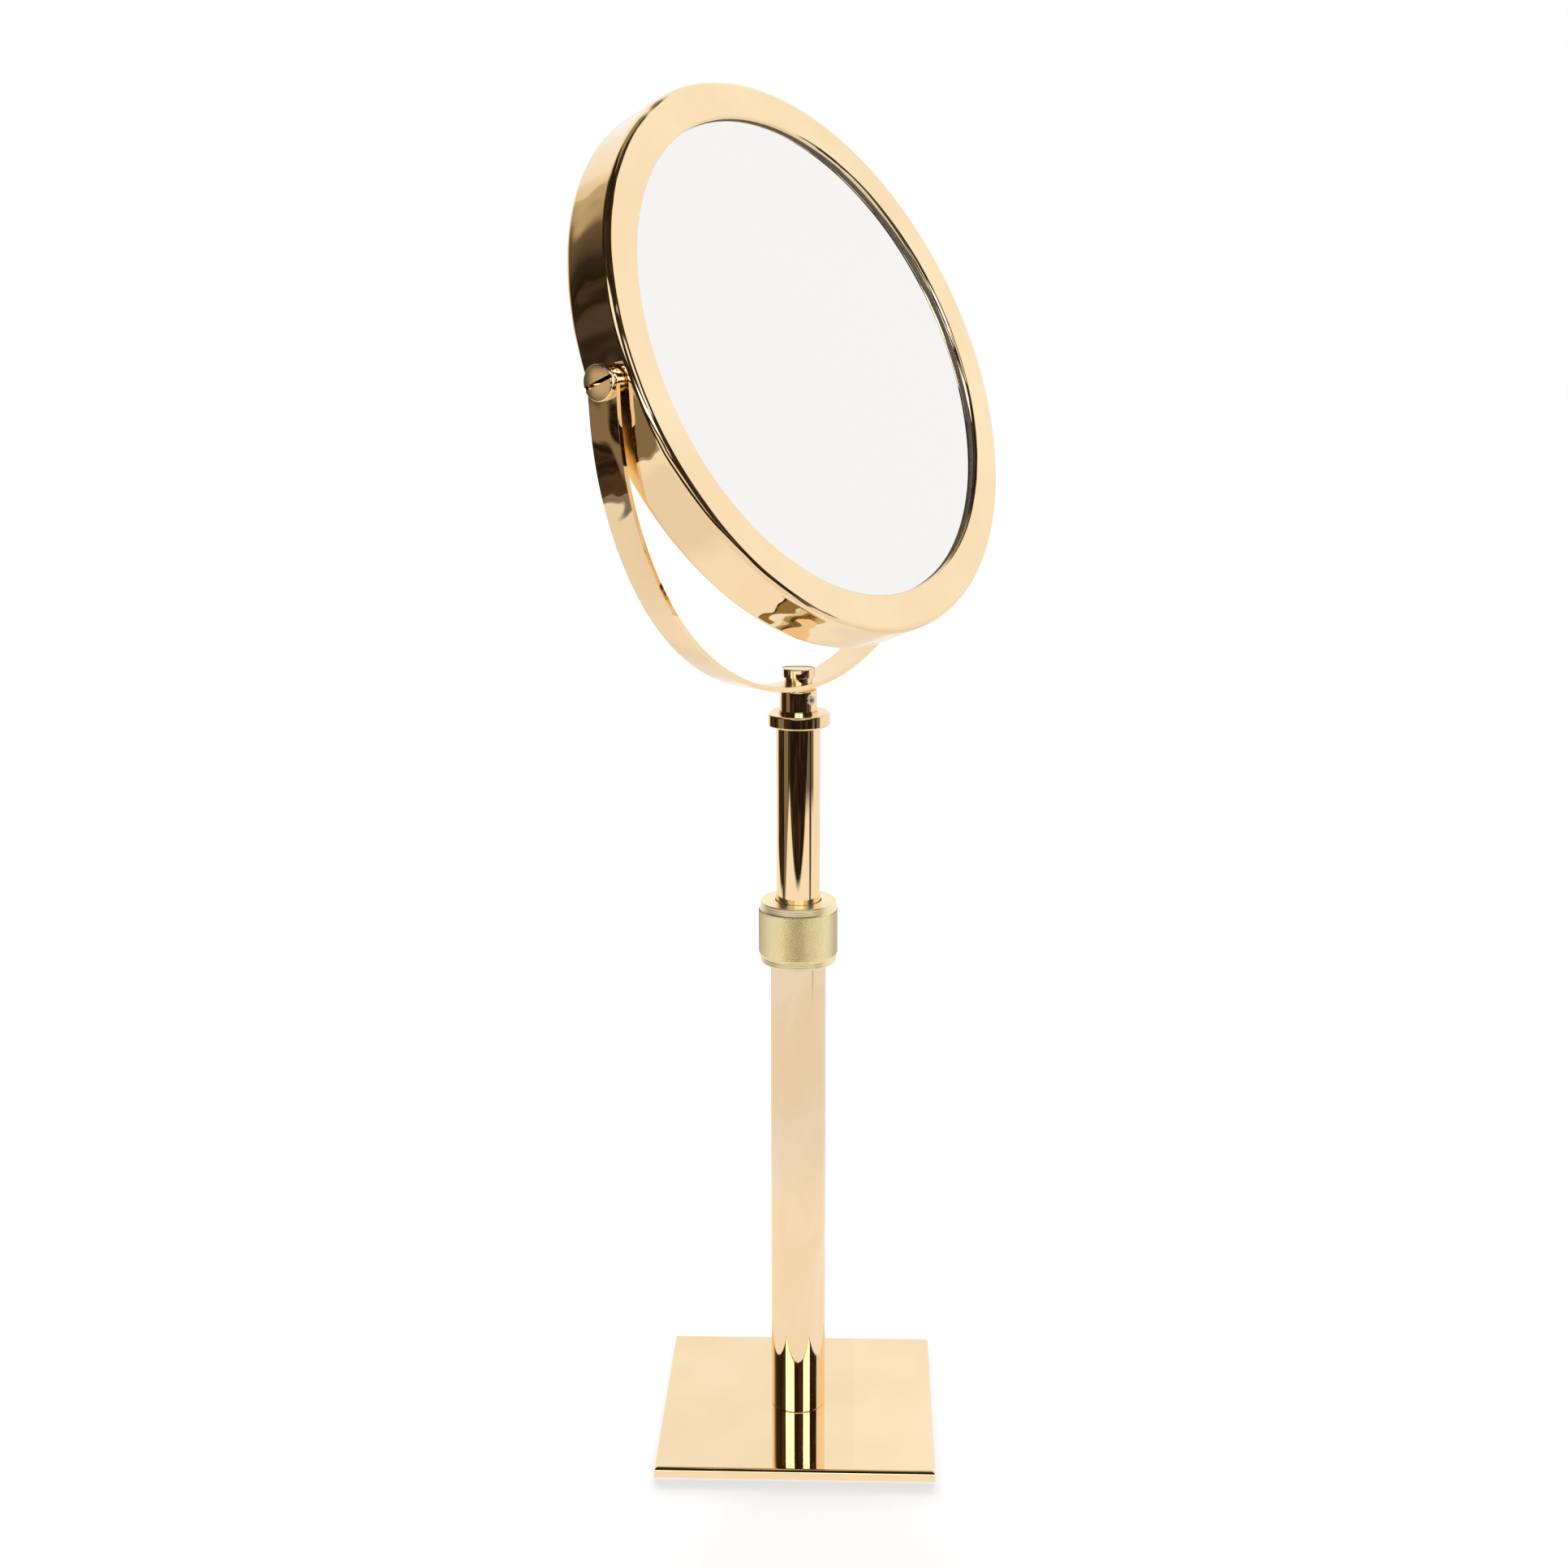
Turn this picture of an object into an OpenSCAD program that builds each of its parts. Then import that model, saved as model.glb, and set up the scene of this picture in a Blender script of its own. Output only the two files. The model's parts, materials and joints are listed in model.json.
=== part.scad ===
// Extendable shaving mirror: a reversible round mirror in a yoke, on a telescopic post with a
// knurled clamp collar and a square base plate.
// Millimetres, +Z up, origin at the middle of the base's underside.

/* [Pose] */
// Turn of the yoke about the post, from a mirror that faces the front
swivel_angle = 55.5; // [-180:0.5:180]
// Upward tilt of the mirror
tilt_angle = 23.8; // [-90:0.1:90]
// Height of the mast's flange above the clamp collar
mast_extension = 80.6; // [2:0.1:150]

/* [Base] */
// Side of the square base plate
plate_side = 127; // [110:1:200]
// Thickness of the base plate
plate_t = 4.76; // [4.6:0.01:10]
// Rounding of the plate's top edges
plate_round = 2; // [0.5:0.1:2.2]
// Thickness of the baize pad
pad_t = 0.8; // [0.5:0.1:2]
// Margin between the pad and the edge of the plate
pad_inset = 3; // [1:0.5:10]
// Thread diameter of the screw that holds the post
base_screw_d = 8; // [6:0.5:9.5]
// Length of the base screw below its countersunk head
base_screw_len = 14; // [8:0.5:18]
// Length of the plug in the foot of the post
foot_plug_len = 22; // [16:0.5:26]

/* [Post and mast tubes] */
// Outside diameter of the sliding mast tube
mast_d = 20; // [18:0.1:24]
// Wall of the mast tube
mast_wall = 1.5; // [1:0.1:2.5]
// Length of the mast tube
mast_len = 205; // [190:1:206]
// Radial gap between the mast and the bore of the post tube
tube_gap = 1.2; // [1:0.05:3]
// Wall of the post tube
post_wall = 1.5; // [1:0.1:3]
// Length of the post tube
post_len = 229.5; // [225:0.5:290]

/* [Clamp] */
// Wall of the collet at its thin end
collet_wall = 1.5; // [1.2:0.05:2]
// Length of the collet's taper
collet_taper_len = 8; // [6:0.5:12]
// Growth of the collet's radius along the taper
collet_taper = 1; // [0.6:0.05:1.4]
// Slits in the collet, half from each end
collet_slits = 6; // [4:2:8]
// Width of each collet slit
collet_slit_w = 1.4; // [0.8:0.1:2]
// Wall of the threaded ferrule round the collet
ferrule_wall = 1.4; // [1:0.05:2]
// Length of the ferrule's spigot inside the post tube
ferrule_spigot_len = 14; // [8:0.5:20]
// Wall of the collar outside its thread
collar_wall = 3.95; // [3:0.05:6]
// Height of the collar
collar_h = 28.7; // [28:0.1:34]
// Thickness of the lip at the top of the collar
collar_lip_t = 3.5; // [2:0.1:5]
// Height of each plain band beside the knurled zone
collar_band_h = 3.3; // [2:0.1:6]
// Step between the knurled zone and the plain bands
collar_band_step = 0.8; // [0.4:0.05:1.5]
// Thickness of the thrust washer under the collar's lip
thrust_washer_t = 1; // [0.6:0.1:1.5]

/* [Guide bush] */
// Length of the guide bush at the foot of the mast
bush_len = 14; // [8:0.5:16]
// Diameter of the stem that the guide bush turns on
bush_stem_d = 12; // [9:0.1:13]
// Length of the mast plug inside the tube
mast_plug_len = 12; // [8:0.5:20]
// Thickness of the circlip under the guide bush
circlip_t = 1.2; // [0.8:0.1:1.5]

/* [Swivel] */
// Diameter of the flange on the mast cap
flange_d = 28.4; // [26:0.1:36]
// Thickness of the flange
flange_t = 5.8; // [4:0.1:8]
// Distance of the flange's flat from the axis
flange_flat = 12.3; // [11:0.1:12.8]
// Direction of the flange's flat
flange_flat_angle = 171; // [0:1:360]
// Length of the cap's spigot inside the mast
cap_spigot_len = 16; // [10:0.5:24]
// Diameter of the spigot that the boss turns on
swivel_pin_d = 11; // [10:0.1:11.6]
// Height of that spigot above the flange
swivel_pin_h = 8.1; // [7.6:0.1:8.4]
// Thickness of the friction washer on the flange
swivel_washer_t = 0.8; // [0.5:0.1:1]
// Diameter of the swivel boss
boss_d = 16.8; // [16:0.1:22]
// Height of the swivel boss
boss_h = 9.4; // [9.2:0.1:14]
// Diameter of the neck on the boss that passes through the band
boss_neck_d = 8.4; // [7:0.1:9]
// Diameter of the grub screw
grub_d = 4; // [3:0.1:4.4]
// Direction of the grub screw, from the yoke's right arm
grub_angle = -102; // [-180:1:180]
// Height of the grub screw above the foot of the boss
grub_height = 5.4; // [5:0.1:5.8]

/* [Yoke] */
// Width of the yoke's band
band_w = 14.5; // [13:0.1:20]
// Thickness of the yoke's band
band_t = 2.2; // [1.6:0.1:4]
// Space between the rim of the mirror and the foot of the band
yoke_drop = 14.5; // [12.5:0.1:30]
// Space between the rim of the mirror and each arm of the band
pivot_gap = 2.4; // [2:0.1:5]
// Length of the saddle plate under the band
lower_saddle_len = 20; // [17:0.5:30]
// Width of the saddle plate
lower_saddle_w = 10; // [9.5:0.1:13]
// Thickness of the saddle plate in the middle
lower_saddle_t = 0.8; // [0.5:0.1:2]
// Diameter of the saddle washer on the band
upper_saddle_d = 12.4; // [10.5:0.1:14]
// Thickness of the saddle washer in the middle
upper_saddle_t = 2.7; // [1.5:0.1:4]
// Thread diameter of the yoke screw
yoke_screw_d = 5; // [4:0.1:6]

/* [Slotted screw heads] */
// Diameter of the three slotted heads
head_d = 14.4; // [12.5:0.1:16]
// Height of the yoke screw's head
yoke_head_h = 4.3; // [3:0.1:5]
// Height of the pivot screws' heads
pivot_head_h = 3; // [2.5:0.1:5]
// Width of the slots
slot_w = 1.5; // [0.8:0.1:2.5]
// Depth of the slots
slot_depth = 1.4; // [0.8:0.1:2]
// Rounding of the heads' edges
head_round = 0.6; // [0.2:0.1:1]

/* [Mirror head] */
// Outside diameter of the mirror's rim
rim_d = 246; // [200:1:300]
// Depth of the rim from face to face
rim_depth = 25; // [24.5:0.1:40]
// Wall of the rim
rim_wall = 1.5; // [1:0.1:2]
// Width of the flat face round the glass
face_w = 16.8; // [12:0.1:30]
// Thickness of the face
lip_t = 1.8; // [1.4:0.1:2.4]
// Rounding of the rim's outer edges
rim_round = 3.2; // [2.5:0.1:4.5]
// Thickness of both glasses
glass_t = 3; // [2:0.1:3.2]
// Gap between the edge of the glass and the rim's inner wall
glass_edge_gap = 2; // [1.9:0.1:4]
// Thickness of the seal rings between the faces and the glasses
gasket_t = 1.1; // [0.5:0.1:1.5]
// Radius of the curve of the magnifying glass
magnifier_radius = 1200; // [1150:50:4000]
// Thickness of the backing board
backing_t = 3; // [2:0.1:4]
// Width of the ring that holds the glasses apart
spacer_ring_w = 10; // [6:0.5:16]
// Length of the blocks that the pivot screws enter
pivot_block_len = 15; // [12:0.5:20]
// Depth of those blocks across the rim
pivot_block_w = 10; // [9:0.1:10.4]
// Height of those blocks along the rim
pivot_block_h = 18; // [14:0.5:24]
// Thread diameter of the pivot screws
pivot_screw_d = 6; // [5:0.1:7]
// Diameter of their plain shoulders
pivot_shoulder_d = 8; // [7.4:0.1:9]
// Diameter of the spacers on the rim
pivot_spacer_d = 12.4; // [11:0.1:14]
// Thickness of the friction washer at each arm
pivot_washer_t = 0.9; // [0.5:0.1:1.2]

/* [Clearances] */
// Radial clearance of running fits
run_gap = 0.05; // [0.02:0.01:0.09]
// Radial clearance of pieces that are fixed together
fit_gap = 0.05; // [0.02:0.01:0.1]
// Gap between flat faces that turn on each other
face_gap = 0.1; // [0.05:0.01:0.3]
// Radial clearance of the collar over the post and the mast
collar_gap = 0.4; // [0.3:0.05:0.8]

/* [Hidden] */
$fn = 96;

brass = [0.93, 0.79, 0.53];
steel = [0.62, 0.63, 0.64];
nylon = [0.9, 0.88, 0.8];
baize = [0.1, 0.22, 0.15];
silvered = [0.86, 0.88, 0.89];
board = [0.42, 0.3, 0.2];
seal_grey = [0.26, 0.23, 0.21];

eps = 1;                                  // how far cutters run past the solids they cut
mast_r = mast_d / 2;
mast_bore_r = mast_r - mast_wall;
post_bore_r = mast_r + tube_gap;
post_r = post_bore_r + post_wall;

plate_z = pad_t;
plate_top = plate_z + plate_t;
post_top = plate_top + post_len;
base_screw_r = base_screw_d / 2;
screw_through_gap = 0.3;                  // play of the base screw in the plate
plug_round = 1;                           // lead-in at the top of the foot plug
csk_r = base_screw_r * 1.9;               // radius of the countersunk head
csk_h = csk_r - base_screw_r;             // 90 degree countersink

thread_pitch = 1.5;                       // the collar climbs this much in one turn
collet_r = mast_r + run_gap;
collet_thin_r = collet_r + collet_wall;
collet_thick_r = collet_thin_r + collet_taper;
collet_head_h = 2.4;                      // cylindrical part above the taper
collet_proud = 1.2;                       // how far the collet stands out of the ferrule
collet_bridge = 1.8;                      // what each slit leaves uncut
ferrule_shoulder_h = 3.6;                 // solid part of the ferrule on the end of the post
ferrule_r = max(post_r + 1, collet_thick_r + fit_gap + ferrule_wall);
collet_z = post_top + ferrule_shoulder_h;
collet_top = collet_z + collet_taper_len + collet_head_h + collet_proud;
ferrule_top = collet_top - collet_proud;
collar_thread_r = ferrule_r + run_gap;
collar_r = collar_thread_r + collar_wall;
collar_lip_z = collet_top + thrust_washer_t + face_gap;
collar_top = collar_lip_z + collar_lip_t;
collar_z = collar_top - collar_h;
collar_chamfer = 0.5;

flange_z = collar_top + mast_extension;
flange_top = flange_z + flange_t;
flange_r = flange_d / 2;
flange_round = 0.8;
mast_foot = flange_z - mast_len;
plug_head_t = 2;
bush_top = mast_foot - plug_head_t - face_gap;
bush_foot = bush_top - bush_len;
circlip_z = bush_foot - face_gap - circlip_t;
stem_r = bush_stem_d / 2;
stem_foot = circlip_z - 1.6;
circlip_groove = 0.7;
circlip_rim = 2.4;

swivel_pin_r = swivel_pin_d / 2;
pin_top = flange_top + swivel_pin_h;
pin_head_gap = 0.3;
boss_z = flange_top + swivel_washer_t + face_gap;
boss_top = boss_z + boss_h;
boss_r = boss_d / 2;
boss_round = 0.6;
neck_r = boss_neck_d / 2;
swivel_washer_r = boss_r + 0.6;
grub_r = grub_d / 2;
grub_z = boss_z + grub_height;
grub_tip_r = grub_r * 0.55;
grub_proud = 0.3;
groove_w = 2 * grub_tip_r + 0.2;
groove_r = swivel_pin_r - 0.9;
hex_af = grub_d / 2;

rim_r = rim_d / 2;
rim_bore_r = rim_r - rim_wall;
opening_r = rim_r - face_w;
arm_x = rim_r + pivot_gap;                // inner face of each arm, from the post's axis
yoke_half_w = arm_x + band_t;
yoke_depth = rim_r + yoke_drop + band_t;  // from the pivots to the foot of the band
oval = yoke_drop - pivot_gap;             // how much deeper than wide the band is
side_r = yoke_half_w + 2 * oval;          // the oval's arcs meet on a 3-4-5 triangle,
foot_r = yoke_half_w - oval / 2;          // so these radii and centres are tangent
foot_centre = 1.5 * oval;
band_foot = boss_top + lower_saddle_t;
pivot_z = band_foot + yoke_depth;
neck_top = band_foot + band_t + upper_saddle_t - face_gap;
yoke_head_z = band_foot + band_t + upper_saddle_t;
yoke_screw_r = yoke_screw_d / 2;
head_r = head_d / 2;

pivot_screw_r = pivot_screw_d / 2;
shoulder_r = pivot_shoulder_d / 2;
arm_sag = band_w * band_w / 8 / side_r;   // how far the arm's curve leaves its tangent
washer_x = arm_x - arm_sag - run_gap;     // outer face of each friction washer
spacer_x = washer_x - pivot_washer_t;

glass_r = rim_bore_r - glass_edge_gap;
seal_inner_r = opening_r + fit_gap;       // the seal rings end just behind the lip's edge
seal_outer_r = glass_r - 1;
glass_v = lip_t + gasket_t;               // depths v run from the front face of the rim
rear_glass_v = rim_depth - glass_v;
magnifier_v = rear_glass_v + sqrt(pow(magnifier_radius, 2) - pow(glass_r, 2));
magnifier_back = magnifier_radius + glass_t;
backing_v = glass_v + glass_t;
backing_r = rim_bore_r - pivot_block_len - 2;
bezel_len = rim_round + 0.5;              // depth of the rear bezel outside the rim's wall
skirt_foot = (rim_depth - pivot_block_w) / 2 - 0.5; // the skirt stops short of the blocks
skirt_wall = 1.5;
lip_round = lip_t - 0.1;                  // the lip's edge is a quarter round

module tube(outer, inner, z0, z1) {
    translate([0, 0, z0]) difference() {
        cylinder(r = outer, h = z1 - z0);
        translate([0, 0, -eps]) cylinder(r = inner, h = z1 - z0 + 2 * eps);
    }
}

// Right half of a disc's section, h high, with a rounded upper edge
module edge_section(r, h, round_r) {
    intersection() {
        square([r, h]);
        union() {
            square([r - round_r, h]);
            square([r, h - round_r]);
            translate([r - round_r, h - round_r]) circle(round_r, $fn = 48);
        }
    }
}

module rounded_square(x, y, r) {
    square([x - 2 * r, y], center = true);
    square([x, y - 2 * r], center = true);
    for (sx = [-1, 1], sy = [-1, 1])
        translate([sx * (x / 2 - r), sy * (y / 2 - r)]) circle(r, $fn = 48);
}

// Slotted cheese head that stands on z = 0
module slotted_head(h) {
    difference() {
        rotate_extrude() edge_section(head_r, h, head_round);
        translate([-head_r - eps, -slot_w / 2, h - slot_depth])
            cube([2 * (head_r + eps), slot_w, slot_depth + eps]);
    }
}

// Frames of the yoke and of the tilted mirror, with the pivots on the X axis
module at_yoke() {
    translate([0, 0, pivot_z]) rotate([0, 0, swivel_angle]) children();
}

module at_mirror() {
    at_yoke() rotate([-tilt_angle, 0, 0]) children();
}

// Turns a section of radius x and depth v round the mirror's axis
module turned_in_rim() {
    at_mirror() rotate([-90, 0, 0]) translate([0, 0, -rim_depth / 2]) rotate_extrude($fn = 192)
        children();
}

// Repeats its children at both pivots, each with +Z outward along the pivot axis
module at_pivots() {
    for (s = [0, 180]) rotate([0, 0, s]) rotate([0, 90, 0]) children();
}

// ---- base ----

module plate_slab() {
    rotate([90, 0, 0]) linear_extrude(height = plate_side, center = true) {
        edge_section(plate_side / 2, plate_t, plate_round);
        mirror([1, 0]) edge_section(plate_side / 2, plate_t, plate_round);
    }
}

module base_plate() {
    color(brass) translate([0, 0, plate_z]) difference() {
        intersection() {
            plate_slab();
            rotate([0, 0, 90]) plate_slab();
        }
        translate([0, 0, -eps]) cylinder(r = base_screw_r + screw_through_gap, h = plate_t + 2 * eps);
        cylinder(r1 = csk_r + screw_through_gap, r2 = base_screw_r + screw_through_gap, h = csk_h);
    }
}

module base_pad() {
    pad_side = plate_side - 2 * pad_inset;
    color(baize) linear_extrude(height = pad_t) rounded_square(pad_side, pad_side, pad_inset);
}

module base_screw() {
    color(steel) translate([0, 0, plate_z]) difference() {
        union() {
            cylinder(r1 = csk_r, r2 = base_screw_r, h = csk_h);
            cylinder(r = base_screw_r, h = csk_h + base_screw_len);
        }
        translate([-csk_r - eps, -slot_w / 2, -eps])
            cube([2 * (csk_r + eps), slot_w, slot_depth + eps]);
    }
}

module foot_plug() {
    tap_depth = csk_h + base_screw_len + 2 - plate_t;
    color(brass) translate([0, 0, plate_top]) difference() {
        rotate_extrude() edge_section(post_bore_r - fit_gap, foot_plug_len, plug_round);
        translate([0, 0, -eps]) cylinder(r = base_screw_r + fit_gap, h = tap_depth + eps);
    }
}

module post_tube() {
    color(brass) tube(post_r, post_bore_r, plate_top, post_top);
}

// ---- clamp ----

module clamp_ferrule() {
    spigot_r = post_bore_r - fit_gap;
    color(brass) difference() {
        union() {
            translate([0, 0, post_top - ferrule_spigot_len])
                cylinder(r = spigot_r, h = ferrule_spigot_len + eps);
            translate([0, 0, post_top]) cylinder(r = ferrule_r, h = ferrule_top - post_top);
        }
        translate([0, 0, post_top - ferrule_spigot_len - eps])
            cylinder(r = mast_r + collar_gap, h = ferrule_spigot_len + ferrule_shoulder_h + 2 * eps);
        collet_body(fit_gap);
    }
}

// Outer form of the collet, grown sideways by a clearance
module collet_body(grow) {
    translate([0, 0, collet_z])
        cylinder(r1 = collet_thin_r + grow, r2 = collet_thick_r + grow, h = collet_taper_len);
    translate([0, 0, collet_z + collet_taper_len])
        cylinder(r = collet_thick_r + grow, h = collet_head_h + collet_proud);
}

module collet() {
    slit_len = collet_top - collet_z - collet_bridge;
    color(nylon) difference() {
        collet_body(0);
        translate([0, 0, collet_z - eps]) cylinder(r = collet_r, h = collet_top - collet_z + 2 * eps);
        for (i = [0 : collet_slits - 1]) {
            z0 = i % 2 == 0 ? collet_z - eps : collet_z + collet_bridge;
            rotate([0, 0, i * 360 / collet_slits]) translate([0, -collet_slit_w / 2, z0])
                cube([collet_thick_r + eps, collet_slit_w, slit_len + eps]);
        }
    }
}

module thrust_washer() {
    z0 = collet_top + face_gap;
    color(steel) tube(collar_thread_r - 0.35, mast_r + 2 * collar_gap, z0, z0 + thrust_washer_t);
}

module knurled_collar() {
    band_r = collar_r - collar_band_step;
    sleeve_top = post_top - thread_pitch - 1;
    step = collar_band_step;
    color(brass) rotate_extrude() translate([0, collar_z]) difference() {
        polygon([
            [0, 0], [band_r - collar_chamfer, 0], [band_r, collar_chamfer],
            [band_r, collar_band_h], [collar_r, collar_band_h + step],
            [collar_r, collar_h - collar_band_h - step], [band_r, collar_h - collar_band_h],
            [band_r, collar_h - collar_chamfer], [band_r - collar_chamfer, collar_h], [0, collar_h]
        ]);
        translate([0, -eps]) square([post_r + collar_gap, sleeve_top - collar_z + 2 * eps]);
        translate([0, sleeve_top - collar_z]) square([collar_thread_r, collar_lip_z - sleeve_top]);
        square([mast_r + collar_gap, collar_h + eps]);
    }
}

// ---- mast ----

module guide_bush() {
    color(nylon) tube(post_bore_r - run_gap, stem_r + run_gap, bush_foot, bush_top);
}

module mast_plug() {
    color(brass) difference() {
        union() {
            translate([0, 0, mast_foot]) cylinder(r = mast_bore_r - fit_gap, h = mast_plug_len);
            translate([0, 0, mast_foot - plug_head_t]) cylinder(r = mast_r, h = plug_head_t);
            translate([0, 0, stem_foot]) cylinder(r = stem_r, h = mast_foot - stem_foot);
        }
        tube(stem_r + eps, stem_r - circlip_groove, circlip_z, circlip_z + circlip_t);
    }
}

module bush_circlip() {
    opening = 70;
    ring_r = stem_r + circlip_rim;
    color(steel) difference() {
        tube(ring_r, stem_r - circlip_groove + fit_gap, circlip_z + fit_gap, circlip_z + circlip_t - fit_gap);
        translate([0, 0, circlip_z - eps]) linear_extrude(height = circlip_t + 2 * eps) polygon([
            [0, 0],
            2 * ring_r * [cos(opening / 2), sin(opening / 2)],
            2 * ring_r * [cos(opening / 2), -sin(opening / 2)]
        ]);
    }
}

module mast_tube() {
    color(brass) tube(mast_r, mast_bore_r, mast_foot, flange_z);
}

module mast_cap() {
    color(brass) difference() {
        union() {
            translate([0, 0, flange_z - cap_spigot_len])
                cylinder(r = mast_bore_r - fit_gap, h = cap_spigot_len + eps);
            translate([0, 0, flange_z + flange_t / 2]) for (up = [0, 1]) mirror([0, 0, up])
                rotate_extrude() edge_section(flange_r, flange_t / 2, flange_round);
            translate([0, 0, flange_z + eps]) cylinder(r = swivel_pin_r, h = pin_top - flange_z - eps);
        }
        rotate([0, 0, flange_flat_angle]) translate([flange_flat, -flange_r, flange_z - eps])
            cube([flange_r, 2 * flange_r, flange_t + 2 * eps]);
        tube(swivel_pin_r + eps, groove_r, grub_z - groove_w / 2, grub_z + groove_w / 2);
    }
}

module swivel_washer() {
    color(brass) tube(swivel_washer_r, swivel_pin_r + fit_gap, flange_top, flange_top + swivel_washer_t);
}

// ---- yoke ----

module swivel_boss() {
    color(brass) difference() {
        union() {
            translate([0, 0, boss_z]) rotate_extrude() edge_section(boss_r, boss_h, boss_round);
            translate([0, 0, boss_top - eps]) cylinder(r = neck_r, h = neck_top - boss_top + eps);
        }
        translate([0, 0, boss_z - eps])
            cylinder(r = swivel_pin_r + run_gap, h = pin_top + pin_head_gap - boss_z + eps);
        translate([0, 0, boss_z]) cylinder(r = yoke_screw_r + fit_gap, h = neck_top - boss_z + eps);
        grub_axis() cylinder(r = grub_r + fit_gap, h = boss_r + eps);
    }
}

// +Z outward along the grub screw
module grub_axis() {
    rotate([0, 0, swivel_angle + grub_angle]) translate([0, 0, grub_z]) rotate([0, 90, 0]) children();
}

module grub_screw() {
    shank_x = swivel_pin_r + 0.3;
    tip_x = groove_r + face_gap;
    end_x = boss_r + grub_proud;
    color(steel) grub_axis() difference() {
        union() {
            translate([0, 0, tip_x]) cylinder(r = grub_tip_r, h = shank_x - tip_x + fit_gap);
            translate([0, 0, shank_x]) cylinder(r = grub_r, h = end_x - shank_x);
        }
        translate([0, 0, end_x - 1.6]) cylinder(r = hex_af / sqrt(3), h = 1.6 + eps, $fn = 6);
    }
}

// Lower half of the band's outline, inset from its outer face
module oval_half(inset) {
    r_side = side_r - inset;
    r_foot = foot_r - inset;
    split = -0.6 * r_side;
    intersection() {
        translate([2 * oval, 0]) circle(r_side, $fn = 360);
        translate([-2 * oval, 0]) circle(r_side, $fn = 360);
        translate([-side_r, split]) square([2 * side_r, band_w - split]);
    }
    intersection() {
        translate([0, -foot_centre]) circle(r_foot, $fn = 360);
        translate([-side_r, split - side_r]) square([2 * side_r, side_r]);
    }
}

module yoke_band() {
    color(brass) at_yoke() difference() {
        intersection() {
            rotate([90, 0, 0]) linear_extrude(height = band_w, center = true) difference() {
                oval_half(0);
                oval_half(band_t);
            }
            union() {
                rotate([0, 90, 0]) cylinder(r = band_w / 2, h = 2 * side_r, center = true);
                translate([-side_r, -band_w, -2 * side_r]) cube([2 * side_r, 2 * band_w, 2 * side_r]);
            }
        }
        rotate([0, 90, 0]) cylinder(r = shoulder_r + run_gap, h = 2 * side_r, center = true);
        translate([0, 0, -yoke_depth - eps]) cylinder(r = neck_r + fit_gap, h = band_t + 2 * eps);
    }
}

// Cylinder along the band's width about the centre of its foot arc
module foot_arc(r) {
    translate([0, 0, -foot_centre]) rotate([90, 0, 0])
        cylinder(r = r, h = 4 * band_w, center = true, $fn = 360);
}

module lower_saddle() {
    color(brass) at_yoke() translate([0, 0, -yoke_depth]) difference() {
        translate([0, 0, -lower_saddle_t]) linear_extrude(height = 4 * lower_saddle_t)
            rounded_square(lower_saddle_len, lower_saddle_w, 2);
        translate([0, 0, yoke_depth]) foot_arc(foot_r + fit_gap);
        translate([0, 0, -lower_saddle_t - eps]) cylinder(r = neck_r + fit_gap, h = band_w);
    }
}

module upper_saddle() {
    color(brass) at_yoke() difference() {
        intersection() {
            foot_arc(foot_r - band_t - fit_gap);
            translate([0, 0, -yoke_depth]) cylinder(r = upper_saddle_d / 2, h = band_t + upper_saddle_t);
        }
        translate([0, 0, -yoke_depth]) cylinder(r = neck_r + fit_gap, h = band_w);
    }
}

module yoke_screw() {
    shank_len = yoke_head_z - pin_top - pin_head_gap - 1;
    color(brass) translate([0, 0, yoke_head_z]) {
        slotted_head(yoke_head_h);
        translate([0, 0, -shank_len]) cylinder(r = yoke_screw_r, h = shank_len + eps);
    }
}

// ---- pivots ----

module pivot_screws() {
    color(brass) at_mirror() at_pivots() {
        translate([0, 0, yoke_half_w + run_gap]) rotate([0, 0, 90]) slotted_head(pivot_head_h);
        translate([0, 0, rim_r]) cylinder(r = shoulder_r, h = yoke_half_w + run_gap - rim_r + fit_gap);
        translate([0, 0, rim_bore_r - pivot_block_len])
            cylinder(r = pivot_screw_r, h = rim_wall + pivot_block_len + fit_gap);
    }
}

module pivot_washers() {
    color(brass) at_mirror() at_pivots()
        tube(pivot_spacer_d / 2 - 0.4, shoulder_r + fit_gap, spacer_x, washer_x);
}

// Cylinder along the mirror's axis, for pieces that sit against the rim
module rim_round_face(r) {
    rotate([90, 0, 0]) cylinder(r = r, h = 2 * rim_depth, center = true, $fn = 360);
}

module pivot_spacers() {
    color(brass) at_mirror() difference() {
        at_pivots() tube(pivot_spacer_d / 2, shoulder_r + fit_gap, rim_r - eps, spacer_x);
        rim_round_face(rim_r + fit_gap);
    }
}

module pivot_blocks() {
    color(brass) at_mirror() difference() {
        intersection() {
            rim_round_face(rim_bore_r - fit_gap);
            at_pivots() translate([-pivot_block_h / 2, -pivot_block_w / 2, rim_bore_r - pivot_block_len])
                cube([pivot_block_h, pivot_block_w, pivot_block_len + eps]);
        }
        at_pivots() cylinder(r = pivot_screw_r + fit_gap, h = rim_r);
    }
}

// ---- mirror head ----

// Section of a disc whose front edge, at v = 0, is rounded
module front_section(r, h, round_r) {
    translate([0, h]) mirror([0, 1]) edge_section(r, h, round_r);
}

// Section of the rounded face and the wall behind it, up to a depth of len
module shell_section(len) {
    difference() {
        front_section(rim_r, len, rim_round);
        translate([0, lip_t]) front_section(rim_bore_r, len, rim_round - rim_wall);
        translate([-eps, -eps]) square([opening_r + eps, lip_t + 2 * eps]);
        difference() {
            translate([opening_r - eps, -eps]) square([lip_round + eps, lip_round + eps]);
            translate([opening_r + lip_round, lip_round]) circle(lip_round, $fn = 48);
        }
    }
}

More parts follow.
